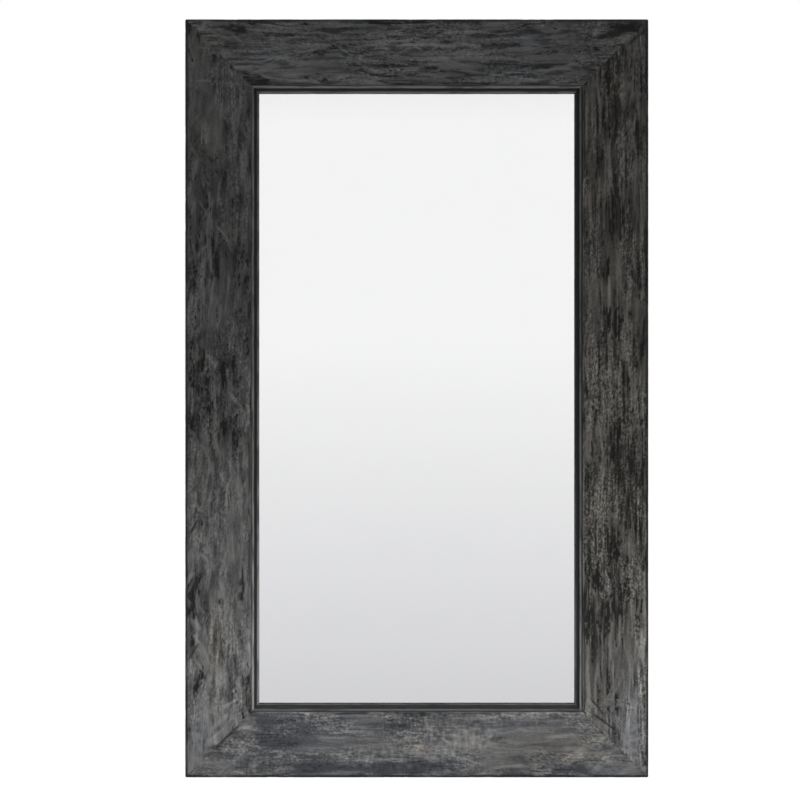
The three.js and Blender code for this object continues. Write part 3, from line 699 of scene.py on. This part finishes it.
def make_screws(kind, shank, length, head, rise, flat):
    """One mesh of all the screws of a kind; each stands with its head's underside where the solid has it."""
    shank, length, head, rise = (size * MM for size in (shank, length, head, rise))
    nodes = nodes_named(f"{kind}_screw_")
    profile = screw_profile(shank, length, head, rise, flat)
    recess = cross_recess(0.62 * head, 0.13 * head, 0.55 * rise)
    parts = []
    for node in nodes:
        low, high = box_of(node)
        x, _, z = (low + high) / 2
        seat = high[1] - (0 if flat else rise)
        parts.append(turned_surface(profile, SCREW_SIDES, (x, seat, z), recess))
    return make_piece(f"{kind}_screw_heads", *joined(parts), "frame", "screw_steel", nodes, sharp_degrees=30)


screws = [make_screws(kind, *sizes) for kind, sizes in SCREWS.items()]

# %% [markdown]
# ## Hangers
# A strap hanger is a strip of steel folded round the straight side of a ring. The strip is a rounded
# rectangle carried along its folded centre line, narrowing at its ends as a half circle does. The
# ring is a circle carried round a D.

# %% Strap and ring
STRIP_THICKNESS = 1.23 * MM
STRIP_ROUND = 0.3 * MM
STRAP_WIDTH = 15 * MM
STRAP_LENGTH = 52 * MM
STRAP_RISE = 2.5 * MM
RING_WIRE = 2 * MM
EYE_MIDDLE = RING_WIRE + FIT_GAP + STRIP_THICKNESS / 2
PIVOT_RISE = 3.55 * MM
RING_HALF_WIDTH = 11 * MM
RING_SIDE = 8 * MM
RING_BEND = 3 * MM


def strap_points(pivot):
    """The strip's rounded section swept along: lower layer up, once round the eye, upper layer down."""
    lower = STRIP_THICKNESS / 2 + 0.01 * MM
    upper = STRIP_THICKNESS * 1.5 + 0.03 * MM
    neck = EYE_MIDDLE * math.cos(math.asin((PIVOT_RISE - upper) / EYE_MIDDLE)) + 1.2 * MM
    end_reach = STRAP_LENGTH - STRAP_WIDTH / 2 * (1 - np.cos(np.radians(np.arange(0, 90, 9))))
    end_start = STRAP_LENGTH - STRAP_WIDTH / 2
    path = np.concatenate([
        np.column_stack([end_reach, np.full(end_reach.size, lower)]),
        runs([(end_start, lower), (1.5 * MM, lower)], [1.2]),
        arc((0, PIVOT_RISE), EYE_MIDDLE, -90, -270 - 80, 26),
        runs([(neck, upper), (end_start, upper)], [1.2]),
        [[end_start, upper]],
        np.column_stack([end_reach[::-1], np.full(end_reach.size, upper)]),
    ])
    ahead = np.gradient(path, axis=0)
    ahead /= np.linalg.norm(ahead, axis=1)[:, None]
    round_end = np.clip(1 - (STRAP_LENGTH - path[:, :1]) / (STRAP_WIDTH / 2), 0, 0.995)
    half = STRAP_WIDTH / 2 * np.sqrt(1 - round_end ** 2)
    hand = np.array([-1, -1, -1, 1, 1, 1, 1, -1])
    inner = STRIP_ROUND * np.array([0, 0, 1, 1, 0, 0, 1, 1])
    flank, face = STRIP_THICKNESS / 2 - STRIP_ROUND, STRIP_THICKNESS / 2
    out = np.array([-flank, flank, face, face, flank, -flank, -face, -face])
    reach = path[:, :1] - ahead[:, 1:] * out
    rise = path[:, 1:] + ahead[:, :1] * out
    grid = np.stack([pivot[0] + hand * (half - inner), BACK + rise, pivot[2] - reach], axis=-1)
    return grid.reshape(-1, 3), stick_faces(*reach.shape)


def ring_points(pivot, tilt, steps=14, sides=20):
    """A circle of wire carried round a D: pivot leg, bend, side, half round, side and bend."""
    w, s, b = RING_HALF_WIDTH, RING_SIDE, RING_BEND
    path = np.concatenate([
        runs([(b - w, 0), (w - b, 0)], [1.5]),
        arc((w - b, -b), b, 90, 0, steps // 2),
        runs([(w, -b), (w, -s)], [1.5]),
        arc((0, -s), w, 0, -180, 2 * steps),
        runs([(-w, -s), (-w, -b)], [1.5]),
        arc((b - w, -b), b, 180, 90, steps // 2),
    ])
    out = -inward(path)
    angle = np.arange(sides) * 2 * math.pi / sides
    x, z = (path[:, k:k + 1] + out[:, k:k + 1] * RING_WIRE * np.cos(angle) for k in (0, 1))
    y = np.broadcast_to(RING_WIRE * np.sin(angle), x.shape)
    y, z = y * math.cos(tilt) - z * math.sin(tilt), y * math.sin(tilt) + z * math.cos(tilt)
    points = np.stack([pivot[0] + x, pivot[1] + y, pivot[2] + z], axis=-1).reshape(-1, 3)
    return points, grid_quads(len(path), sides, wrap_rows=True)


def ring_tilt():
    """The ring leans on the strap's edge: rise over reach there, and half a degree more."""
    reach = RING_SIDE + math.sqrt(RING_HALF_WIDTH ** 2 - (STRAP_WIDTH / 2) ** 2)
    return math.asin((STRAP_RISE + FIT_GAP + RING_WIRE - PIVOT_RISE) / reach) + math.radians(0.5)


hangers = []
for hand in ("left", "right"):
    low, high = box_of(f"hanger_strap_{hand}")
    pivot = ((low[0] + high[0]) / 2, BACK + PIVOT_RISE, high[2] - PIVOT_RISE)
    hangers.append(make_piece(f"folded_strap_{hand}", *strap_points(pivot), "frame", "hanger_steel",
                              [f"hanger_strap_{hand}"]))
    hangers.append(make_piece(f"wire_ring_{hand}", *ring_points(pivot, ring_tilt()), f"ring_{hand}",
                              "hanger_steel", [f"hanger_ring_{hand}"]))

# %% [markdown]
# ## Bumpers
# Soft black buttons, a little dished on their face, one in each corner of the back.

# %% Bumpers
def bumper_profile():
    """Base, a side that tapers, a rounded shoulder and a face dished by a third of a millimetre."""
    base, face, height, shoulder, dish = 11 * MM, 9 * MM, 10 * MM, 1.5 * MM, 0.3 * MM
    flat = face - shoulder
    side = [(base, 0.0), (base, 0.8 * MM), ((base + face) / 2, 0.5 * height)]
    turn = [(flat + shoulder * math.cos(a), height - shoulder + shoulder * math.sin(a))
            for a in np.radians(np.linspace(0, 90, 7))]
    hollowed = [(share * flat, height - dish * (1 - share ** 2)) for share in (0.75, 0.5, 0.25, 0)]
    return [(0, 0.0)] + side + turn + hollowed


def make_bumper(node):
    low, high = box_of(node)
    x, _, z = (low + high) / 2
    surface = turned_surface(bumper_profile(), 48, (x, BACK, z))
    return make_piece(f"rubber_{node}", *surface, "frame", "rubber", [node])


bumpers = [make_bumper(node) for node in nodes_named("bumper_")]

# %% [markdown]
# ## Silvering
# The silver is a film on the back of the glass, sealed with dull paint. Its sheet starts a hair behind
# the glass, because two faces in one plane would hide each other at random.

# %% Silver film and its backing paint
BEHIND_GLASS = 0.03 * MM


def make_silvering():
    """A sheet with the film in front, a painted back and four painted edges."""
    low, high = box_of("mirror_silvering")
    low[1] += BEHIND_GLASS
    ends = list(zip(low, high))
    corners = np.array([(x, y, z) for y in ends[1] for z in ends[2] for x in ends[0]])
    faces = [(0, 1, 3, 2), (4, 6, 7, 5), (0, 2, 6, 4), (1, 5, 7, 3), (0, 4, 5, 1), (2, 3, 7, 6)]
    return make_piece("silvering_sheet", corners, faces, "frame", "silvering", ["mirror_silvering"])


silvering = make_silvering()

# %% [markdown]
# ## Corner braces and panel
# Their solids have the right shape. Only their edges need easing, by a weld and a narrow bevel.

# %% Ease the edges of flat pieces
def ease_edges(node, width):
    """Welds the node's triangles and bevels its sharp edges."""
    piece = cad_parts[node]
    piece.modifiers.new("weld", "WELD").merge_threshold = 0.01 * MM
    bevel = piece.modifiers.new("eased edge", "BEVEL")
    bevel.width = width
    bevel.segments = 2
    bevel.limit_method = "ANGLE"
    bevel.angle_limit = math.radians(50)
    return piece


braces = [ease_edges(node, 0.35 * MM) for node in nodes_named("corner_brace_")]
panel = ease_edges("backing_panel", 0.4 * MM)
print("eased pieces:", len(braces) + 1)

# %% [markdown]
# ## Node helpers
# A field is an output socket, whose value changes over the surface. Sums on fields put Math nodes into
# their tree, so a line of code reads like the sum that it makes.

# %% Small words for building node trees
class Field:
    """An output socket: +, -, * and / add Math nodes, and [name] is another output of its node."""

    def __init__(self, socket):
        self.socket = socket

    def __getitem__(self, name):
        return Field(self.socket.node.outputs[name])

    def __add__(self, other):
        return calc("ADD", self, other)

    def __sub__(self, other):
        return calc("SUBTRACT", self, other)

    def __rsub__(self, other):
        return calc("SUBTRACT", other, self)

    def __mul__(self, other):
        return calc("MULTIPLY", self, other)

    def __truediv__(self, other):
        return calc("DIVIDE", self, other)

    def held(self):
        """The same sum, held between 0 and 1."""
        self.socket.node.use_clamp = True
        return self


def fill(node, inputs):
    """Links each input to its field, or sets its number or colour."""
    for key, value in inputs.items():
        socket = node.inputs[key]
        if isinstance(value, Field):
            node.id_data.links.new(value.socket, socket)
        else:
            socket.default_value = (*value, 1) if socket.type == "RGBA" else value


def add(home, kind, inputs, **settings):
    """A node in a tree, or beside a field, with its settings and inputs; gives its first output."""
    tree = home.socket.id_data if isinstance(home, Field) else home
    new = tree.nodes.new(kind)
    for key, value in settings.items():
        setattr(new, key, value)
    fill(new, inputs)
    return Field(new.outputs[0])


def calc(operation, *values):
    """One sum on numbers and at least one field."""
    home = next(value for value in values if isinstance(value, Field))
    return add(home, "ShaderNodeMath", dict(enumerate(values)), operation=operation)


def remap(value, low, high, new_low=0.0, new_high=1.0):
    """The value's stretch from low to high, carried to new_low to new_high and held there."""
    inputs = {"Value": value, "From Min": low, "From Max": high, "To Min": new_low, "To Max": new_high}
    return add(value, "ShaderNodeMapRange", inputs, clamp=True)


def blend(share, a, b):
    """Colour a where share is 0 and colour b where it is 1."""
    return add(share, "ShaderNodeMix", {0: share, 6: a, 7: b}, data_type="RGBA")[2]


def noise(vector, scale, detail, roughness, distortion=0.0):
    """Smooth noise, 0 to 1, at about `scale` blobs to the unit."""
    inputs = {"Vector": vector, "Scale": scale, "Detail": detail, "Roughness": roughness,
              "Distortion": distortion}
    return add(vector, "ShaderNodeTexNoise", inputs)["Fac"]


def stretched(vector, factors, shift=(0, 0, 0)):
    """The coordinates scaled by each factor, so that a pattern grows long or wide."""
    return add(vector, "ShaderNodeMapping", {"Vector": vector, "Scale": factors, "Location": shift})


def bump(height, distance, strength):
    return add(height, "ShaderNodeBump", {"Height": height, "Distance": distance, "Strength": strength})


def stored(tree, name):
    return add(tree, "ShaderNodeAttribute", {}, attribute_name=name)["Fac"]


def stick_map(tree):
    return add(tree, "ShaderNodeUVMap", {}, uv_map="stick")


def object_map(home):
    return add(home, "ShaderNodeTexCoord", {})["Object"]


def make_group(name, inputs, recipe):
    """A shader node group: the recipe is given the inputs as fields and gives the outputs by name."""
    group = bpy.data.node_groups.new(name, "ShaderNodeTree")
    group.interface.new_socket("Map", in_out="INPUT", socket_type="NodeSocketVector")
    for label, value in inputs.items():
        socket = group.interface.new_socket(label, in_out="INPUT", socket_type="NodeSocketFloat")
        socket.default_value = value
    results = recipe(Field(group.nodes.new("NodeGroupInput").outputs["Map"]))
    for label in results:
        group.interface.new_socket(label, in_out="OUTPUT", socket_type="NodeSocketFloat")
    fill(group.nodes.new("NodeGroupOutput"), results)
    return group


def new_material(name):
    material = bpy.data.materials.new(name)
    material.use_nodes = True
    return material, material.node_tree


def make_material(name, recipe):
    """A material whose Principled BSDF gets the inputs that the recipe works out."""
    material, tree = new_material(name)
    fill(tree.nodes["Principled BSDF"], recipe(tree))
    return material

# %% [markdown]
# ## Shared effects
# Three effects come back in several finishes, so each is a node group: bristles, hair-fine lines along
# a stick; dust, where a surface looks up; and handling, a cloudy change of gloss.

# %% Shader groups
DUST_COLOUR = (0.2, 0.195, 0.185)


def bristle_recipe(given):
    """Lines from noise stretched forty to one along the stick, and pores that open here and there."""
    lines = noise(stretched(given, (0.025, 1, 1)), given["Lines per metre"], 4, 0.6)
    spots = noise(stretched(given, (0.28, 1, 1), (3, 1, 0)), given["Lines per metre"] * 0.45, 3, 0.6)
    pores = remap(spots, 0.6, 0.7)
    return {"Lines": lines, "Pores": pores, "Height": lines - pores * 0.6}


def dust_recipe(given):
    """Amount times how far the surface looks up, broken by soft noise."""
    normal = add(given, "ShaderNodeNewGeometry", {})["Normal"]
    settled = remap(add(given, "ShaderNodeSeparateXYZ", {0: normal})["Z"], 0.35, 0.95)
    patchy = remap(noise(given, 24, 4, 0.6), 0.3, 0.7, 0.35, 1.0)
    return {"Dust": (settled * patchy * given["Amount"]).held()}


def handling_recipe(given):
    """Roughness about a middle value, moved by clouds of two sizes."""
    clouds = noise(given, given["Scale"], 5, 0.6)
    rough = (clouds - 0.5) * given["Spread"] * 4.0 + given["Middle"]
    return {"Roughness": rough.held(), "Clouds": clouds}


BRISTLES = make_group("bristles", {"Lines per metre": 700.0}, bristle_recipe)
DUST = make_group("dust", {"Amount": 0.5}, dust_recipe)
HANDLING = make_group("handling", {"Middle": 0.4, "Spread": 0.1, "Scale": 30.0}, handling_recipe)


def bristled(place, lines):
    return add(place, "ShaderNodeGroup", {"Map": place, "Lines per metre": lines}, node_tree=BRISTLES)


def handled(place, middle, spread, scale):
    inputs = {"Map": place, "Middle": middle, "Spread": spread, "Scale": scale}
    return add(place, "ShaderNodeGroup", inputs, node_tree=HANDLING)


def dusted(colour, amount):
    """The colour with dust on what looks up."""
    inputs = {"Map": object_map(colour), "Amount": amount}
    return blend(add(colour, "ShaderNodeGroup", inputs, node_tree=DUST), colour, DUST_COLOUR)

# %% [markdown]
# ## Dry-brushed paint
# The stored tone picks a colour from near black to the palest grey, the stored warmth leans it blue or
# brown, and bristle lines finish what the mesh is too coarse to hold. Where the brush missed, the
# black shows, a little smoother. The back was never brushed: its wood is only stained.

# %% Frame paint
PAINT_STOPS = [(0.0, (0.0155, 0.0156, 0.0158)), (0.25, (0.0398, 0.04, 0.0402)),
               (0.43, (0.0664, 0.0665, 0.0666)), (0.71, (0.1292, 0.129, 0.1284)),
               (1.0, (0.2036, 0.203, 0.2016))]
LIGHTEST_TONE = 1.4
COOL, WARM = (0.95, 1.0, 1.1), (1.05, 1.0, 0.9)


def colour_ramp(value, stops):
    """Colours at their places along 0 to 1, blended between."""
    ramp = add(value, "ShaderNodeValToRGB", {"Fac": value})["Color"]
    elements = ramp.socket.node.color_ramp.elements
    while len(elements) < len(stops):
        elements.new(0.5)
    for element, (place, colour) in zip(elements, stops):
        element.position = place
        element.color = (*colour, 1)
    return ramp


def frame_paint(tree):
    flat = stick_map(tree)
    bristles = bristled(flat, 620.0)
    tone = ((stored(tree, "tone") + (bristles["Lines"] - 0.5) * 0.45) / LIGHTEST_TONE).held()
    black = blend(tone, (0.004, 0.0041, 0.0042), (0.0106, 0.0108, 0.0111))
    missed = (bristles["Pores"] * 0.3 + stored(tree, "missed")).held()
    painted = blend(missed, colour_ramp(tone, PAINT_STOPS), black)
    leaning = blend(remap(stored(tree, "warmth"), -1.0, 1.0), COOL, WARM)
    front = add(tree, "ShaderNodeVectorMath", {0: painted, 1: leaning}, operation="MULTIPLY")
    # The inner arris is lightened towards a pale grey: worn paint and painted highlight.
    worn_and_highlighted = blend(stored(tree, "rub") * 0.5, front, (0.135, 0.135, 0.132))

    figure = noise(stretched(flat, (0.05, 1, 1)), 85, 5, 0.62, 0.4)
    grain = remap(figure, 0.34, 0.66) * 0.65 + bristles["Lines"] * 0.35
    stain = blend(grain, (0.009, 0.008, 0.007), (0.066, 0.054, 0.043))
    return {"Base Color": dusted(blend(stored(tree, "shown"), stain, worn_and_highlighted), 0.25),
            "Roughness": (missed * -0.14 + handled(flat, 0.62, 0.08, 60.0)).held(),
            "Specular IOR Level": 0.12,
            "Normal": bump(missed * -0.5 + bristles["Height"], 0.0003, 0.8)}

# %% [markdown]
# ## Slip paint
# The same black, smoother. The stored wear and painted highlight lighten the bead and the lip, and nothing
# else.

# %% Slip paint
def slip_paint(tree):
    flat = stick_map(tree)
    bristles = bristled(flat, 800.0)
    black = blend(bristles["Lines"], (0.005, 0.0054, 0.0062), (0.0115, 0.012, 0.013))
    # The bead and lip lighten to a pale grey: worn paint and painted highlight.
    rub = stored(tree, "rub") * remap(bristles["Lines"], 0.3, 0.7, 0.55, 1.0)
    return {"Base Color": dusted(blend(rub, black, (0.19, 0.19, 0.186)), 0.18),
            "Roughness": handled(flat, 0.46, 0.06, 80.0),
            "Specular IOR Level": 0.12,
            "Normal": bump(bristles["Height"], 0.0002, 0.6)}

# %% [markdown]
# ## Mirror
# A mirror is clear glass with silver behind it. Kept apart, the glass edge, the faint second
# reflection and the dark line under the lip come by themselves. The silver is a trace uneven.

# %% Glass and silver
def clear_glass(tree):
    return {"Base Color": (0.99, 0.992, 0.991), "Transmission Weight": 1.0, "IOR": 1.52, "Roughness": 0.0}


def silver(tree):
    smears = remap(noise(object_map(tree), 3.0, 4, 0.5), 0.3, 0.7)
    return {"Base Color": blend(smears, (0.96, 0.96, 0.961), (0.966, 0.966, 0.967)),
            "Metallic": 1.0, "Roughness": 0.0}


def backing_paint(tree):
    clouds = noise(object_map(tree), 40, 4, 0.6)
    return {"Base Color": blend(clouds, (0.16, 0.17, 0.18), (0.22, 0.23, 0.24)), "Roughness": 0.6,
            "Normal": bump(clouds, 0.00005, 0.5)}

# %% [markdown]
# ## Hardboard and beech
# The back panel is brown hardboard, its screen side out: dark fibres, and the fine woven print of the
# wire it was pressed on. The tongues inside the mitres are plain beech.

# %% Backing panel and tongues
WIRE_PITCH = 1.6 * MM


def hardboard(tree):
    place = object_map(tree)
    fibres = noise(stretched(place, (1, 1, 0.6)), 420, 4, 0.65)
    base = blend(noise(place, 5, 4, 0.5), (0.15, 0.088, 0.046), (0.215, 0.132, 0.072))
    coloured = blend(remap(fibres, 0.52, 0.74, 0, 0.55), base, (0.06, 0.036, 0.02))
    split = add(tree, "ShaderNodeSeparateXYZ", {0: place})
    warp, weft = (calc("SINE", split[axis] * (2 * math.pi / WIRE_PITCH)) for axis in "XZ")
    return {"Base Color": dusted(coloured, 0.3), "Roughness": 0.82, "Specular IOR Level": 0.3,
            "Normal": bump(warp * weft * 0.35 + fibres, 0.0003, 0.7)}


def beech(tree):
    grain = noise(stretched(object_map(tree), (1, 6, 0.2)), 160, 4, 0.6)
    return {"Base Color": blend(grain, (0.36, 0.2, 0.1), (0.52, 0.33, 0.18)), "Roughness": 0.7,
            "Normal": bump(grain, 0.0002, 0.4)}

# %% [markdown]
# ## Plated steel and rubber
# Zinc plate is grey with a cloudy spangle and fine scratches. The screws carry a yellower passivation.
# Rubber is black, with a bloom that greys it in patches.

# %% Metals and rubber
def plated(dark, light, middle):
    """A recipe for plated steel: two close colours in clouds, and a gloss of handling and scratches."""
    def recipe(tree):
        place = object_map(tree)
        gloss = handled(place, middle, 0.07, 140.0)
        scratches = noise(stretched(place, (1, 1, 0.05)), 2600, 2, 0.5)
        return {"Base Color": blend(gloss["Clouds"], dark, light), "Metallic": 1.0,
                "Roughness": (scratches * 0.12 + (gloss - 0.06)).held(),
                "Normal": bump(scratches, 0.00004, 0.5)}
    return recipe


def rubber(tree):
    bloom = noise(object_map(tree), 260, 4, 0.6)
    return {"Base Color": dusted(blend(bloom, (0.012, 0.012, 0.012), (0.036, 0.035, 0.034)), 0.5),
            "Roughness": 0.78, "Normal": bump(bloom, 0.0001, 0.5)}

# %% Put the finishes on
FINISHES = [
    ("dry_brushed_paint", frame_paint, boards),
    ("black_slip_paint", slip_paint, slips),
    ("clear_glass", clear_glass, [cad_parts["mirror_glass"]]),
    ("mirror_backing_paint", backing_paint, [silvering]),
    ("brown_hardboard", hardboard, [panel]),
    ("bare_beech", beech, [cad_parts[node] for node in nodes_named("mitre_tongue_")]),
    ("zinc_plate", plated((0.44, 0.45, 0.46), (0.62, 0.63, 0.64), 0.36), braces),
    ("screw_plate", plated((0.5, 0.46, 0.34), (0.66, 0.63, 0.52), 0.3), screws),
    ("nickel_plate", plated((0.5, 0.49, 0.46), (0.66, 0.65, 0.62), 0.24), hangers),
    ("black_rubber", rubber, bumpers),
]
for name, recipe, pieces in FINISHES:
    material = make_material(name, recipe)
    for piece in pieces:
        piece.data.materials.clear()
        piece.data.materials.append(material)
    print(name, "on", len(pieces), "pieces")

silvering.data.materials.append(make_material("silvering", silver))
for face in silvering.data.polygons:
    face.material_index = int(face.normal.y < -0.9)

# %% [markdown]
# ## Floor and wall
# To the camera the studio is white with a soft shadow. In the mirror it is a floor that is greyer
# close by and a wall that goes on from it, which give the lower half of the glass its slow fall to
# grey. From a camera at height h and distance c, a point d in front of the mirror shows at height
# h d / (d + c) on the glass, and a far one whose line of sight rises by r shows at h + r c. One grey
# that grows evenly with that height runs over floor, horizon and wall with no step.

# %% Grey by height on the glass
FLOOR_HALF = 90.0
FLOOR_COLOUR = (0.82, 0.82, 0.82)
WHITE = (1, 1, 1)
NEAR_GREY = 0.618
GREY_RISE = 0.3313
STUDIO_WHITE = 0.9555
CAMERA_HEIGHT = 0.897
CAMERA_DISTANCE = 5.28
WALL_HIGH = 0.905
WALL_FALL = (0.1235, 0.137)


def grey_at(glass_height):
    """Near grey plus the rise per metre of height on the glass, held softly at the studio's white."""
    return calc("SMOOTH_MIN", glass_height * GREY_RISE + NEAR_GREY, STUDIO_WHITE, 0.02)


def cooled(grey):
    """The same grey with a trace more blue the darker it is."""
    blue = (STUDIO_WHITE - grey) * 0.07 + grey
    return add(grey, "ShaderNodeCombineColor", {0: grey, 1: grey * 0.998, 2: blue})


def kinds_of_ray(tree):
    """1 for rays from the camera, and 1 for rays that have left a mirror or passed through glass."""
    path = add(tree, "ShaderNodeLightPath", {})
    return path["Is Camera Ray"], calc("MAXIMUM", path["Is Glossy Ray"], path["Is Transmission Ray"])


def mixed(share, first, second):
    return add(share, "ShaderNodeMixShader", {0: share, 1: first, 2: second})


def floor_material():
    """Lit and shadowed for the lamps, mostly plain white to the camera, grey by distance in the mirror."""
    material, tree = new_material("studio_floor")
    tree.nodes.remove(tree.nodes["Principled BSDF"])
    camera_ray, mirror_ray = kinds_of_ray(tree)
    distance = add(tree, "ShaderNodeVectorMath", {0: object_map(tree)}, operation="LENGTH")["Value"]
    glass_height = distance / (distance + CAMERA_DISTANCE) * CAMERA_HEIGHT
    lit = add(tree, "ShaderNodeBsdfDiffuse", {"Color": FLOOR_COLOUR})
    white = add(tree, "ShaderNodeEmission", {"Color": WHITE, "Strength": 1.2})
    studio = add(tree, "ShaderNodeEmission", {"Color": cooled(grey_at(glass_height)), "Strength": 1.0})
    surface = mixed(mirror_ray, mixed(camera_ray * 0.8, lit, white), studio)
    fill(tree.nodes["Material Output"], {"Surface": surface})
    return material


floor_mesh = bpy.data.meshes.new("studio_floor")
floor_corners = [(x * FLOOR_HALF, y * FLOOR_HALF, 0) for x, y in ((-1, -1), (1, -1), (1, 1), (-1, 1))]
floor_mesh.from_pydata(floor_corners, [], [(0, 1, 2, 3)])
floor_mesh.materials.append(floor_material())
floor = new_object("studio_floor", floor_mesh)

# %% [markdown]
# ## World and lamps
# Daylight from all round lights the wood. The camera sees plain white, the mirror the wall, a touch
# greyer high up. Two soft lamps shape the wood: one low in front, so the bottom of the frame is
# lighter than its top, and one from the side, across the relief. Neither shows in the glass.

# %% World
WORLD_LIGHT = 0.42
world = bpy.data.worlds.new("studio")
bpy.context.scene.world = world
world.use_nodes = True
tree = world.node_tree
tree.nodes.clear()
camera_ray, mirror_ray = kinds_of_ray(tree)
direction = add(tree, "ShaderNodeTexCoord", {})["Generated"]
up = add(tree, "ShaderNodeSeparateXYZ", {0: direction})["Z"]
foot = grey_at(up * CAMERA_DISTANCE + CAMERA_HEIGHT)
wall = cooled(calc("MINIMUM", foot, remap(up, *WALL_FALL, STUDIO_WHITE, WALL_HIGH)))
light, mirrored, white = (add(tree, "ShaderNodeBackground", {"Color": colour, "Strength": strength})
                          for colour, strength in ((WHITE, WORLD_LIGHT), (wall, 1.0), (WHITE, 1.0)))
surface = mixed(camera_ray, mixed(mirror_ray, light, mirrored), white)
fill(tree.nodes.new("ShaderNodeOutputWorld"), {"Surface": surface})

# %% Lamps
def soft_lamp(name, place, target, width, height, watts):
    """A rectangular lamp at a place, turned to a target, unseen by camera and mirror."""
    data = bpy.data.lights.new(name, "AREA")
    data.shape = "RECTANGLE"
    data.size, data.size_y = width, height
    data.energy = watts
    lamp = new_object(name, data)
    lamp.location = place
    x, y, z = np.array(target) - np.array(place)
    lamp.rotation_euler = (math.atan2(math.hypot(x, y), -z), 0, math.atan2(y, x) - math.pi / 2)
    lamp.visible_camera = lamp.visible_glossy = lamp.visible_transmission = False
    print(name, watts, "W")


soft_lamp("low_front", (0, -0.62, 0.16), (0, 0, 0.18), 1.7, 0.2, 9.5)
soft_lamp("side_rake", (-2.4, -1.0, 1.2), (0, 0, 0.7), 0.9, 1.6, 10)

# %% [markdown]
# ## Camera
# Both stiles are upright in the picture and both rails level, so the film stood parallel to the
# frame: a long lens five metres off, square to the mirror and level with the picture's middle. The
# mirror is a little right of that middle, so the lens stands a little left of it, and needs no shift.

# %% Camera
PICTURE = 800
MM_PER_PIXEL = 2.3712
OBJECT_MIDDLE = (416.8, 398.35)
LENS, SENSOR = 100.0, 36.0
stand_off = PICTURE * MM_PER_PIXEL * MM * LENS / SENSOR
camera_data = bpy.data.cameras.new("camera")
camera_data.lens = LENS
camera_data.sensor_width = SENSOR
camera_data.clip_end = 400
camera = new_object("camera", camera_data)
picture_x = (PICTURE / 2 - OBJECT_MIDDLE[0]) * MM_PER_PIXEL * MM
picture_z = FRAME_HEIGHT / 2 + (OBJECT_MIDDLE[1] - PICTURE / 2) * MM_PER_PIXEL * MM
camera.location = (picture_x, FRONT - stand_off, picture_z)
camera.rotation_euler = (math.pi / 2, 0, 0)
bpy.context.scene.camera = camera
bpy.context.scene.view_settings.view_transform = "Standard"
print("camera stands off", round(stand_off, 3), "m at height", round(picture_z, 3), "m")
